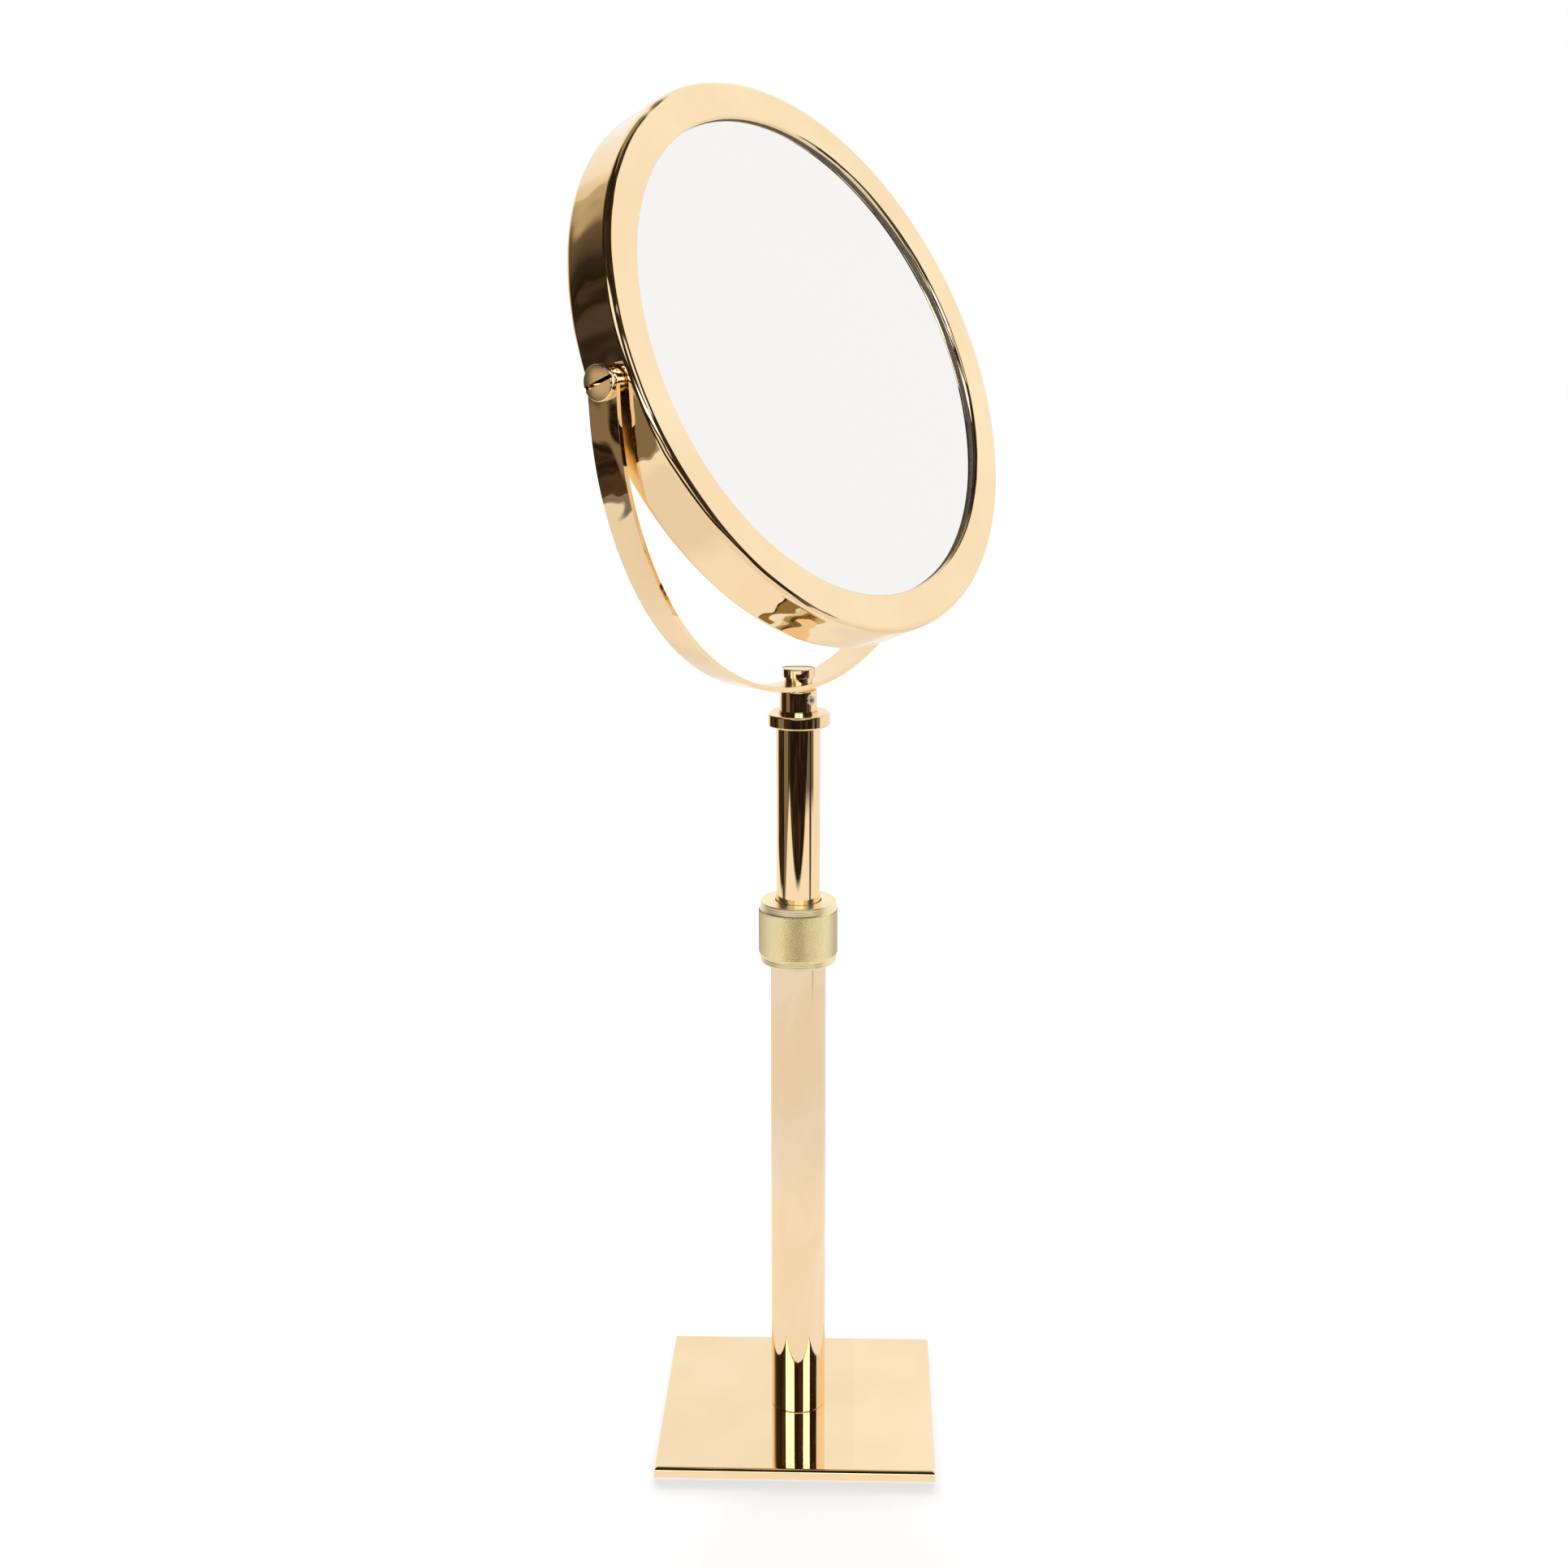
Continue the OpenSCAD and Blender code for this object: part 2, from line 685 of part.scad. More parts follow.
module rim_shell() {
    color(brass) difference() {
        turned_in_rim() shell_section(rim_depth - bezel_len);
        at_mirror() at_pivots() cylinder(r = pivot_screw_r + fit_gap, h = rim_r + eps);
    }
}

module rear_bezel() {
    color(brass) turned_in_rim() translate([0, rim_depth]) mirror([0, 1]) {
        shell_section(bezel_len);
        translate([rim_bore_r - fit_gap - skirt_wall, lip_t / 2])
            square([skirt_wall, skirt_foot - lip_t / 2]);
    }
}

module front_gasket() {
    color(seal_grey) turned_in_rim() translate([seal_inner_r, lip_t])
        square([seal_outer_r - seal_inner_r, gasket_t]);
}

module front_glass() {
    color(silvered) turned_in_rim() translate([0, glass_v]) square([glass_r, glass_t]);
}

module backing_board() {
    color(board) turned_in_rim() translate([0, backing_v]) square([backing_r, backing_t]);
}

module magnifier_arc(r) {
    translate([0, magnifier_v]) circle(r, $fn = 1440);
}

// Depth of the curve of radius r at a distance x from the middle of the magnifying glass
function magnifier_depth(r, x) = magnifier_v - sqrt(r * r - x * x);

module spacer_ring() {
    z0 = backing_v + backing_t;
    inner = backing_r - spacer_ring_w;
    color(nylon) turned_in_rim() polygon([
        [inner, z0], [backing_r, z0],
        [backing_r, magnifier_depth(magnifier_back, backing_r) - fit_gap],
        [inner, magnifier_depth(magnifier_back, inner) - fit_gap]
    ]);
}

module magnifying_glass() {
    color(silvered) turned_in_rim() intersection() {
        square([glass_r, rim_depth]);
        difference() {
            magnifier_arc(magnifier_back);
            magnifier_arc(magnifier_radius);
        }
    }
}

module rear_gasket() {
    // its foot slopes with the dished glass
    color(seal_grey) turned_in_rim() polygon([
        [seal_inner_r, magnifier_depth(magnifier_radius, seal_inner_r) + fit_gap],
        [seal_outer_r, magnifier_depth(magnifier_radius, seal_outer_r) + fit_gap],
        [seal_outer_r, rear_glass_v + gasket_t], [seal_inner_r, rear_glass_v + gasket_t]
    ]);
}

base_plate();
base_pad();
base_screw();
foot_plug();
post_tube();
clamp_ferrule();
collet();
thrust_washer();
knurled_collar();
guide_bush();
mast_plug();
bush_circlip();
mast_tube();
mast_cap();
swivel_washer();
swivel_boss();
grub_screw();
lower_saddle();
yoke_band();
upper_saddle();
yoke_screw();
pivot_screws();
pivot_washers();
pivot_spacers();
pivot_blocks();
rim_shell();
rear_bezel();
front_gasket();
front_glass();
backing_board();
spacer_ring();
magnifying_glass();
rear_gasket();
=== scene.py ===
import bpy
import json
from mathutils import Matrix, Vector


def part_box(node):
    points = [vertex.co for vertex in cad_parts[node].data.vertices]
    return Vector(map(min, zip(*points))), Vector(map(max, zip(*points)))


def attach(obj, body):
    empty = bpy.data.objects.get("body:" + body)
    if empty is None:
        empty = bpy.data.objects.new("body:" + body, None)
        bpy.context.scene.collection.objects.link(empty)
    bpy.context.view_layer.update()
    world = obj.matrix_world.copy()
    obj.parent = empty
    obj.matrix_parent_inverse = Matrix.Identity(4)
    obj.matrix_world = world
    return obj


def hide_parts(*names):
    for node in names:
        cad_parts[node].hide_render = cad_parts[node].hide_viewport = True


bl_info = {
    "name": "Extendable shaving mirror",
    "version": (1, 0, 0),
    "blender": (4, 5, 0),
    "location": "View3D > Sidebar > Shaving mirror",
    "description": "Finishes, knurled collar, turned fittings and studio of a brass shaving mirror",
    "category": "Object",
}

import json
import math

import bmesh
import bpy
import numpy as np
from bpy.props import FloatProperty, FloatVectorProperty, IntProperty, PointerProperty
from mathutils import Matrix, Vector

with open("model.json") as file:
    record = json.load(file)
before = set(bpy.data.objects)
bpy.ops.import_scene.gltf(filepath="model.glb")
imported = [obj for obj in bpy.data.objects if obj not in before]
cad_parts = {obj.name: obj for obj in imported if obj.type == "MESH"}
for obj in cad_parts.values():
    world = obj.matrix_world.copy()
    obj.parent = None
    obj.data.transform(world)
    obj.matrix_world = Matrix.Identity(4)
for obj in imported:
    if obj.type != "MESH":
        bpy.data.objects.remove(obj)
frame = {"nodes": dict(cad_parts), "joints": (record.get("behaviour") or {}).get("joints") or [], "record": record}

MM = 0.001
UP = Vector((0, 0, 1))


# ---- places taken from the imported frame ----


def joint(name):
    """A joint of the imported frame, by its name."""
    return next(j for j in frame["joints"] if j["name"] == name)


def centre_of(node):
    """The middle of a CAD node's box."""
    low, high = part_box(node)
    return (Vector(low) + Vector(high)) / 2


def mirror_frame():
    """X along the pivots, Z out of the front glass, origin at the middle of the rim."""
    along = Vector(joint("mirror_tilt")["axis"]).normalized()
    verts = frame["nodes"]["front_glass"].data.vertices
    points = np.array([v.co for v in verts])
    _, _, ways = np.linalg.svd(points - points.mean(0), full_matrices=False)
    normal = Vector(ways[2])  # the flat glass spreads least along its normal
    if normal.dot(centre_of("front_glass") - centre_of("magnifying_glass")) < 0:
        normal = -normal
    m = Matrix((along, normal.cross(along), normal)).transposed().to_4x4()
    m.translation = Vector(joint("mirror_tilt")["pos_m"])
    return m


def extent(node, matrix):
    """(inner radius, outer radius, lowest, highest) of a CAD node round the Z axis of matrix."""
    inverse = matrix.inverted()
    points = np.array([inverse @ v.co for v in frame["nodes"][node].data.vertices])
    radii = np.hypot(points[:, 0], points[:, 1])
    return radii.min(), radii.max(), points[:, 2].min(), points[:, 2].max()


# ---- node helpers ----


class Nodes:
    """A node tree with short ways to add nodes and join them."""

    def __init__(self, tree):
        self.tree = tree
        tree.nodes.clear()

    def add(self, kind, inputs=None, **settings):
        """A new node: inputs are values or sockets by name, settings are its own fields."""
        node = self.tree.nodes.new(kind)
        for name, value in settings.items():
            setattr(node, name, value)
        for name, value in (inputs or {}).items():
            self.set(node.inputs[name], value)
        return node

    def set(self, socket, value):
        """Links a socket to another one, or gives it a constant."""
        if isinstance(value, bpy.types.NodeSocket):
            self.tree.links.new(value, socket)
        else:
            socket.default_value = value

    def math(self, operation, *values):
        node = self.add("ShaderNodeMath", operation=operation)
        for socket, value in zip(node.inputs, values):
            self.set(socket, value)
        return node.outputs[0]

    def ramp(self, value, low, high, to_low=0.0, to_high=1.0):
        """Smooth step of value: to_low up to low, to_high from high on."""
        node = self.add("ShaderNodeMapRange", interpolation_type="SMOOTHSTEP")
        for name, given in (("Value", value), ("From Min", low), ("From Max", high)):
            self.set(node.inputs[name], given)
        node.inputs["To Min"].default_value = to_low
        node.inputs["To Max"].default_value = to_high
        return node.outputs["Result"]

    def window(self, value, low, high, soft):
        """1 between low and high, with soft edges inside them."""
        rise = self.ramp(value, low, low + soft)
        fall = self.ramp(value, high - soft, high, 1.0, 0.0)
        return self.math("MULTIPLY", rise, fall)

    def heading(self, x, y):
        """Degrees round to the right of the front, which faces -Y."""
        return self.math("DEGREES", self.math("ARCTAN2", x, self.math("MULTIPLY", y, -1.0)))

    def mix(self, factor, a, b):
        """Colour a where factor is 0 and b where it is 1."""
        node = self.add("ShaderNodeMix", data_type="RGBA")
        for socket, value in zip((node.inputs[0], node.inputs[6], node.inputs[7]), (factor, a, b)):
            self.set(socket, value)
        return node.outputs[2]

    def noise(self, vector, scale, detail=3.0, stretch=None, distortion=0.0):
        """Noise of so many repeats per metre. A stretch below 1 draws it out along that axis."""
        if stretch:
            vector = self.add("ShaderNodeMapping", {"Vector": vector, "Scale": stretch}).outputs[0]
        given = {"Vector": vector, "Scale": scale, "Detail": detail, "Distortion": distortion}
        return self.add("ShaderNodeTexNoise", given).outputs["Fac"]

    def shader_mix(self, factor, a, b):
        """Shader a where factor is 0 and b where it is 1."""
        node = self.add("ShaderNodeMixShader", {0: factor})
        self.tree.links.new(a.outputs[0], node.inputs[1])
        self.tree.links.new(b.outputs[0], node.inputs[2])
        return node

    def finish(self, shader, kind="ShaderNodeOutputMaterial"):
        """Joins the last shader to the tree's output."""
        self.tree.links.new(shader.outputs[0], self.add(kind).inputs[0])


def new_material(name):
    """A material and its empty node tree."""
    material = bpy.data.materials.new(name)
    material.use_nodes = True
    return material, Nodes(material.node_tree)


def colour(value):
    """Red, green and blue with the alpha that a colour socket wants."""
    return (*value, 1.0)


# ---- finishes ----


# Noise scales of the finishes, in repeats per metre
CLOUDS, SMEARS, BUFF_WAVES = 22.0, 35.0, 24.0
SCRATCHES, DRAWN_LINES = 500.0, 900.0
BLOTCHES, RUBBED_SPOTS = 34.0, 120.0
VEIL = 14.0
# What the cloudy patches keep of the brass's red, green and blue
DEEP_POLISHED, DEEP_HAZED = (0.97, 0.94, 0.9), (0.95, 0.92, 0.9)
# Roughness that scratches, rubbed spots and the grain of plain pieces add
SCRATCH_DULL, RUBBED_DULL, GRAIN_DULL = 0.05, 0.05, 0.06
# Roughness of the brass that isn't mirror bright
BAND_INSIDE, HIDDEN_BRASS = 0.2, 0.22
# What the small facets of the knurl add to the polish, and how much paler the knurl's brass colour is made, as
# painted light that brightens the collar
KNURL_DULL, KNURL_PAINTED_LIGHT = 0.32, 1.18


def scaled(tone, factors):
    """A colour with each channel scaled, and none above 1."""
    return tuple(min(1.0, c * f) for c, f in zip(tone, factors))


def polished_brass(name, tone, roughness, haze=0.03, wave=0.0, streaks=False):
    """Polished brass: a little cloudy in tone and gloss, with buffing waves and fine scratches."""
    material, n = new_material(name)
    place = n.add("ShaderNodeTexCoord").outputs["Object"]
    cloud = n.ramp(n.noise(place, CLOUDS, 3.0), 0.35, 0.7)
    base = n.mix(cloud, colour(scaled(tone, DEEP_POLISHED)), colour(tone))
    if streaks:
        grain = n.noise(place, DRAWN_LINES, 2.0, stretch=(1.0, 1.0, 0.04))
    else:
        grain = n.noise(place, SCRATCHES, 4.0)
    scratched = n.ramp(grain, 0.45, 0.8, roughness, roughness + SCRATCH_DULL)
    smeared = n.ramp(n.noise(place, SMEARS, 2.0), 0.45, 0.8, 0.0, haze)
    rough = n.math("ADD", scratched, smeared)
    given = {"Base Color": base, "Metallic": 1.0, "Roughness": rough}
    if wave:
        height = n.noise(place, BUFF_WAVES, 1.5, distortion=0.4)
        bump = n.add("ShaderNodeBump", {"Height": height, "Strength": wave, "Distance": 4 * MM})
        given["Normal"] = bump.outputs[0]
    n.finish(n.add("ShaderNodeBsdfPrincipled", given))
    return material


def hazed_brass(name, tone, film):
    """The post's brass: polished, then dulled by a pale, blotchy film with rubbed patches."""
    material, n = new_material(name)
    place = n.add("ShaderNodeTexCoord").outputs["Object"]
    blotch = n.noise(place, BLOTCHES, 4.0, stretch=(1.0, 1.0, 0.45), distortion=0.8)
    blotch = n.ramp(blotch, 0.4, 0.68)
    rubbed = n.ramp(n.noise(place, RUBBED_SPOTS, 5.0, stretch=(1.0, 1.0, 0.2)), 0.5, 0.72)
    cover = n.math("ADD", n.math("MULTIPLY", blotch, 0.8), 0.1)
    base = n.mix(cover, colour(scaled(tone, DEEP_HAZED)), colour(film))
    dulled = n.ramp(blotch, 0.0, 1.0, 0.03, 0.1)
    rough = n.math("ADD", dulled, n.ramp(rubbed, 0.0, 1.0, 0.0, RUBBED_DULL))
    given = {"Base Color": base, "Metallic": 1.0, "Roughness": rough}
    n.finish(n.add("ShaderNodeBsdfPrincipled", given))
    return material


def silvered_glass(name, tone):
    """Mirror glass with a hardly visible veil in its silvering."""
    material, n = new_material(name)
    place = n.add("ShaderNodeTexCoord").outputs["Object"]
    veil = n.ramp(n.noise(place, VEIL, 2.0), 0.5, 0.8)
    base = n.mix(veil, colour(tone), colour(scaled(tone, (0.99, 0.99, 0.99))))
    given = {"Base Color": base, "Metallic": 1.0, "Roughness": 0.0}
    n.finish(n.add("ShaderNodeBsdfPrincipled", given))
    return material


def matt(name, dark, pale, scale, roughness, metallic=0.0, lift=0.0):
    """A two-tone material for the plain pieces: felt, nylon, rubber, board and steel."""
    material, n = new_material(name)
    place = n.add("ShaderNodeTexCoord").outputs["Object"]
    grain = n.noise(place, scale, 4.0)
    given = {
        "Base Color": n.mix(n.ramp(grain, 0.35, 0.65), colour(dark), colour(pale)),
        "Metallic": metallic,
        "Roughness": n.ramp(grain, 0.3, 0.7, roughness - GRAIN_DULL, roughness + GRAIN_DULL),
    }
    if lift:
        bump = n.add("ShaderNodeBump", {"Height": grain, "Strength": lift, "Distance": 0.4 * MM})
        given["Normal"] = bump.outputs[0]
    n.finish(n.add("ShaderNodeBsdfPrincipled", given))
    return material


# The plain pieces: dark tone, pale tone, grain in repeats per metre, roughness
PLAIN = {
    "baize": ((0.008, 0.035, 0.02), (0.02, 0.07, 0.04), 900.0, 0.93),
    "steel": ((0.66, 0.64, 0.61), (0.88, 0.86, 0.83), 300.0, 0.16),
    "nylon": ((0.7, 0.68, 0.6), (0.8, 0.78, 0.7), 90.0, 0.45),
    "gasket": ((0.2, 0.165, 0.145), (0.25, 0.21, 0.185), 400.0, 0.7),
    "hardboard": ((0.13, 0.07, 0.035), (0.2, 0.12, 0.06), 260.0, 0.75),
}

_made = {}


def finish_for(slot):
    """The material of a record slot, made once."""
    if slot not in _made:
        look = bpy.context.scene.mirror_finish
        tone, polish = tuple(look.brass), look.polish
        if slot in PLAIN:
            extra = {"baize": {"lift": 0.8}, "steel": {"metallic": 1.0}}.get(slot, {})
            _made[slot] = matt(slot, *PLAIN[slot], **extra)
        elif slot == "satin_brass":
            _made[slot] = hazed_brass(slot, tone, tuple(look.film))
        elif slot == "mirror_glass":
            _made[slot] = silvered_glass(slot, tuple(look.silver))
        else:
            # The knurl's brass is painted paler than the other brass, as painted light
            pale = scaled(tone, (KNURL_PAINTED_LIGHT,) * 3)
            _made[slot] = polished_brass(slot, **{
                "polished_brass": dict(tone=tone, roughness=polish, haze=0.01, wave=look.wave),
                "mast_brass": dict(tone=tone, roughness=polish, haze=0.05, streaks=True),
                "fittings_brass": dict(tone=tone, roughness=polish + 0.01),
                "band_inside": dict(tone=tone, roughness=BAND_INSIDE, haze=0.04),
                "head_faces": dict(tone=tone, roughness=look.head_faces, haze=0.02),
                "plate_brass": dict(tone=tone, roughness=polish, haze=0.02, wave=0.005),
                "knurled_brass": dict(tone=pale, roughness=polish + KNURL_DULL),
                "yoke_brass": dict(tone=tone, roughness=polish, wave=look.wave),
                "inner_brass": dict(tone=tone, roughness=HIDDEN_BRASS),
            }[slot])
    return _made[slot]


def slot_of(node):
    """The record's material slot of a CAD node."""
    return next(p["material_slot"] for p in frame["record"]["subparts"] if p["node"] == node)


def body_of(node):
    """The moving body that a CAD node belongs to."""
    bodies = frame["record"]["behaviour"]["bodies"]
    return next(b for b, members in bodies.items() if node in members)


def dress(*nodes):
    """Gives carried-over CAD nodes their finish."""
    for node in nodes:
        for s in frame["nodes"][node].material_slots:
            s.material = finish_for(slot_of(node))


def place(obj, *nodes):
    """Puts a finished piece on the body of the nodes that it stands for."""
    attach(obj, body_of(nodes[0]))
    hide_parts(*nodes)
    slot_of(nodes[0])
    return obj


# ---- mesh helpers ----

STRAIGHT = 1e-4  # radians off a straight line that need no fillet
NO_LENGTH = 1e-9  # metres
ON_AXIS = 1e-7  # metres from the axis that count as on it
MERGE = 2e-6  # metres between points of a CAD mesh that are one point
FLAT = math.radians(0.3)  # CAD faces that meet at less than this are one flat
FINE_TURN = dict(sides=256, steps=12)


def outline(corners, steps=8):
    """Closed section from (across, up, fillet) corners, counter-clockwise round the metal.
    Returns runs of (point, normal) samples, so that flats stay flat and fillets are smooth."""
    count = len(corners)
    runs, ends = [], []
    for i, (x, y, fillet) in enumerate(corners):
        here = Vector((x, y))
        back = (Vector(corners[i - 1][:2]) - here).normalized()
        on = (Vector(corners[(i + 1) % count][:2]) - here).normalized()
        half = math.acos(max(-1.0, min(1.0, back.dot(on)))) / 2
        if fillet and half < math.pi / 2 - STRAIGHT:
            reach = fillet / math.tan(half)
            mid = here + (back + on).normalized() * (fillet / math.sin(half))
            start, stop = here + back * reach, here + on * reach
            first = math.atan2(*reversed(start - mid))
            turn = math.atan2(*reversed(stop - mid)) - first
            turn = (turn + math.pi) % (2 * math.pi) - math.pi
            sign = 1 if turn > 0 else -1
            arc = []
            for k in range(steps + 1):
                now = first + turn * k / steps
                ray = Vector((math.cos(now), math.sin(now)))
                arc.append((mid + ray * fillet, ray * sign))
            ends.append((start, stop, arc))
        else:
            ends.append((here, here, None))
    for i, (start, stop, arc) in enumerate(ends):
        if arc:
            runs.append(arc)
        following = ends[(i + 1) % count][0]
        way = following - stop
        if way.length > NO_LENGTH:
            normal = Vector((way.y, -way.x)).normalized()
            runs.append([(stop, normal), (following, normal)])
    return runs


def build_mesh(name, faces_of, slot):
    """Mesh object from faces given as lists of (position, normal), with its own shading normals."""
    index, points, faces, normals = {}, [], [], []
    for face in faces_of:
        ids, ns = [], []
        for position, normal in face:
            key = tuple(round(c, 8) for c in position)  # points that coincide are one vertex
            if key not in index:
                index[key] = len(points)
                points.append(position)
            if index[key] in ids:
                continue
            ids.append(index[key])
            ns.append(normal)
        if len(ids) > 2:
            faces.append(ids)
            normals.extend(ns)
    mesh = bpy.data.meshes.new(name)
    mesh.from_pydata([tuple(p) for p in points], [], faces)
    shade_smooth(mesh)
    mesh.normals_split_custom_set([tuple(v.normalized()) for v in normals])
    mesh.materials.append(finish_for(slot))
    return link(bpy.data.objects.new(name, mesh))


def turned(name, corners, slot, matrix=None, sides=128, steps=8):
    """Turns a section of (radius, height, fillet) corners round the Z axis of matrix."""
    matrix = matrix or Matrix.Identity(4)
    spin = matrix.to_3x3()
    angles = [2 * math.pi * j / sides for j in range(sides)]
    rays = [Vector((math.cos(a), math.sin(a), 0)) for a in angles]

    def faces():
        for run in outline(corners, steps):
            for (p, pn), (q, qn) in zip(run, run[1:]):
                if p.x < ON_AXIS and q.x < ON_AXIS:
                    continue
                for j in range(sides):
                    a, b = rays[j], rays[(j + 1) % sides]
                    yield [
                        (matrix @ (ray * pt.x + UP * pt.y), spin @ (ray * nm.x + UP * nm.y))
                        for ray, pt, nm in ((a, p, pn), (b, p, pn), (b, q, qn), (a, q, qn))
                    ]

    return build_mesh(name, faces(), slot)


def link(obj):
    """Puts a new object into the scene."""
    bpy.context.scene.collection.objects.link(obj)
    return obj


def drop_normals(obj):
    """Drops the shading normals that a mesh object brought with it."""
    if obj.data.has_custom_normals:
        with bpy.context.temp_override(object=obj, active_object=obj, selected_objects=[obj]):
            bpy.ops.mesh.customdata_custom_splitnormals_clear()


def shade_smooth(mesh):
    mesh.polygons.foreach_set("use_smooth", [True] * len(mesh.polygons))


def refined(name, node, edge, sharp=35.0):
    """A merged copy of a CAD node with its sharp edges broken by a small, smooth bevel."""
    mesh = frame["nodes"][node].data.copy()
    mesh.name = name
    obj = link(bpy.data.objects.new(name, mesh))
    drop_normals(obj)
    bm = bmesh.new()
    bm.from_mesh(mesh)
    bmesh.ops.remove_doubles(bm, verts=bm.verts, dist=MERGE)
    bmesh.ops.dissolve_degenerate(bm, edges=bm.edges, dist=MERGE)
    bmesh.ops.dissolve_limit(bm, angle_limit=FLAT, verts=bm.verts, edges=bm.edges)
    bm.to_mesh(mesh)
    bm.free()
    shade_smooth(mesh)
    bevel = obj.modifiers.new("edge", "BEVEL")
    bevel.width = edge
    bevel.segments = 3
    bevel.limit_method = "ANGLE"
    bevel.angle_limit = math.radians(sharp)
    bevel.use_clamp_overlap = True
    bevel.miter_outer = "MITER_ARC"
    weigh = obj.modifiers.new("normals", "WEIGHTED_NORMAL")
    weigh.mode = "FACE_AREA"
    weigh.weight = 100
    baked = bake(obj)
    for s in baked.material_slots:
        s.material = finish_for(slot_of(node))
    return baked


def slotted_screw(name, shank, foot, high, matrix, look):
    """Screw round Z of matrix: shank corners, cheese head from foot to high, slot along X."""
    r, brim = look.head_radius, high - look.dome
    corners = [(0.0, shank[0][1], 0), *shank, (shank[-1][0], foot, 0), (r, foot, 0.15 * MM)]
    corners.append((r, brim, look.head_round))
    for inward in (0.15, 0.3, 0.45, 0.6, 0.75, 0.9, 1.0):  # the dome, from brim to middle
        corners.append((r * (1 - inward), high - look.dome * (1 - inward) ** 2, 0))
    obj = turned(name, corners, "fittings_brass", matrix, sides=96)
    cutter = link(bpy.data.objects.new("cutter", bpy.data.meshes.new("cutter")))
    depth = look.slot_depth + 1.0 * MM
    middle = Matrix.Translation((0, 0, high - look.slot_depth + depth / 2))
    long_box = Matrix.Diagonal((4 * r, look.slot_width, depth, 1.0))
    bm = bmesh.new()
    bmesh.ops.create_cube(bm, size=1.0, matrix=matrix @ middle @ long_box)
    bm.to_mesh(cutter.data)
    bm.free()
    cut = obj.modifiers.new("slot", "BOOLEAN")
    cut.object = cutter
    cut.solver = "EXACT"
    obj = bake(obj)
    bpy.data.objects.remove(cutter)
    drop_normals(obj)
    mesh = obj.data
    shade_smooth(mesh)
    mesh.set_sharp_from_angle(angle=math.radians(32))
    mesh.materials.clear()
    mesh.materials.append(finish_for("fittings_brass"))
    mesh.materials.append(finish_for("head_faces"))
    out = matrix.to_3x3() @ UP
    inverse = matrix.inverted()
    for f in mesh.polygons:
        on_head = (inverse @ f.center).z > foot + 0.5 * MM
        f.material_index = int(f.normal.dot(out) > 0.95 and on_head)
    return obj


def bake(obj):
    """Replaces an object that has modifiers by the plain mesh that they give."""
    deps = bpy.context.evaluated_depsgraph_get()
    mesh = bpy.data.meshes.new_from_object(
        obj.evaluated_get(deps), preserve_all_data_layers=True, depsgraph=deps)
    name = obj.name
    bpy.data.objects.remove(obj)
    return link(bpy.data.objects.new(name, mesh))


# ---- sizes and colours that a user may change ----


def hue(name, text, default):
    return FloatVectorProperty(
        name=name, description=text, default=default, size=3, subtype="COLOR", min=0, max=1)


def size(name, text, default):
    return FloatProperty(
        name=name, description=text, default=default, unit="LENGTH", min=0, precision=5)


def share(name, text, default):
    return FloatProperty(name=name, description=text, default=default, min=0, max=1)


def strength(name, text, default):
    return FloatProperty(name=name, description=text, default=default, min=0)


def number(name, text, default, least):
    return IntProperty(name=name, description=text, default=default, min=least)


class MirrorFinish(bpy.types.PropertyGroup):
    brass: hue("Brass", "Colour of the polished brass", (0.945, 0.75, 0.485))
    film: hue("Film", "Colour of the dulled patches on the post", (0.94, 0.78, 0.58))
    silver: hue("Silvering", "Colour of the mirror glass", (0.885, 0.87, 0.86))
    polish: share("Polish", "Roughness of the polished brass", 0.012)
    head_faces: share("Screw faces", "Roughness of the slotted faces", 0.2)
    wave: share("Wave", "Waviness of the spun rim and bent band", 0.6)


class MirrorBase(bpy.types.PropertyGroup):
    edge_round: size("Edge round", "Radius of the plate's top edges", 2.0 * MM)
    crown_width: size("Crown width", "Reach of the buffed fall-off from the edges", 6.0 * MM)
    crown_drop: size("Crown drop", "Fall of the top towards its edges from buffing", 0.16 * MM)


class MirrorCollar(bpy.types.PropertyGroup):
    columns: number("Columns", "Knurl diamonds round the collar", 95, 12)
    rows: number("Rows", "Staggered rows of knurl diamonds", 22, 2)
    knurl_depth: size("Knurl depth", "Height of each diamond", 0.36 * MM)
    band_height: size("Band height", "Height of the plain band at each end", 3.3 * MM)
    band_step: size("Band step", "Step between the knurl and the bands", 0.8 * MM)
    groove_pitch: size("Groove pitch", "Distance between the turned lines on the bands", 0.85 * MM)
    groove_depth: size("Groove depth", "Depth of the turned lines", 0.12 * MM)


class MirrorScrews(bpy.types.PropertyGroup):
    head_radius: size("Head radius", "Radius of the slotted heads", 7.2 * MM)
    head_round: size("Head round", "Rounding of the heads' edges", 0.6 * MM)
    pivot_head: size("Pivot head", "Height of the pivot screws' heads", 3.0 * MM)
    dome: size("Dome", "Rise of the heads towards the middle", 0.35 * MM)
    slot_width: size("Slot width", "Width of the slots", 1.5 * MM)
    slot_depth: size("Slot depth", "Depth of the slots", 1.4 * MM)
    thread_radius: size("Thread radius", "Radius of the threads", 3.0 * MM)
    shoulder_radius: size("Shoulder radius", "Radius of the pivot screws' shoulders", 4.0 * MM)


class MirrorRim(bpy.types.PropertyGroup):
    wall: size("Wall", "Wall of the rim", 1.5 * MM)
    edge_round: size("Edge round", "Rounding of the rim's outer edges", 3.2 * MM)
    lip_round: size("Lip round", "Rounding of the face's inner edge", 1.65 * MM)


class MirrorYoke(bpy.types.PropertyGroup):
    edge_break: size("Edge break", "Small bevel on the sharp edges of band and fittings", 0.25 * MM)


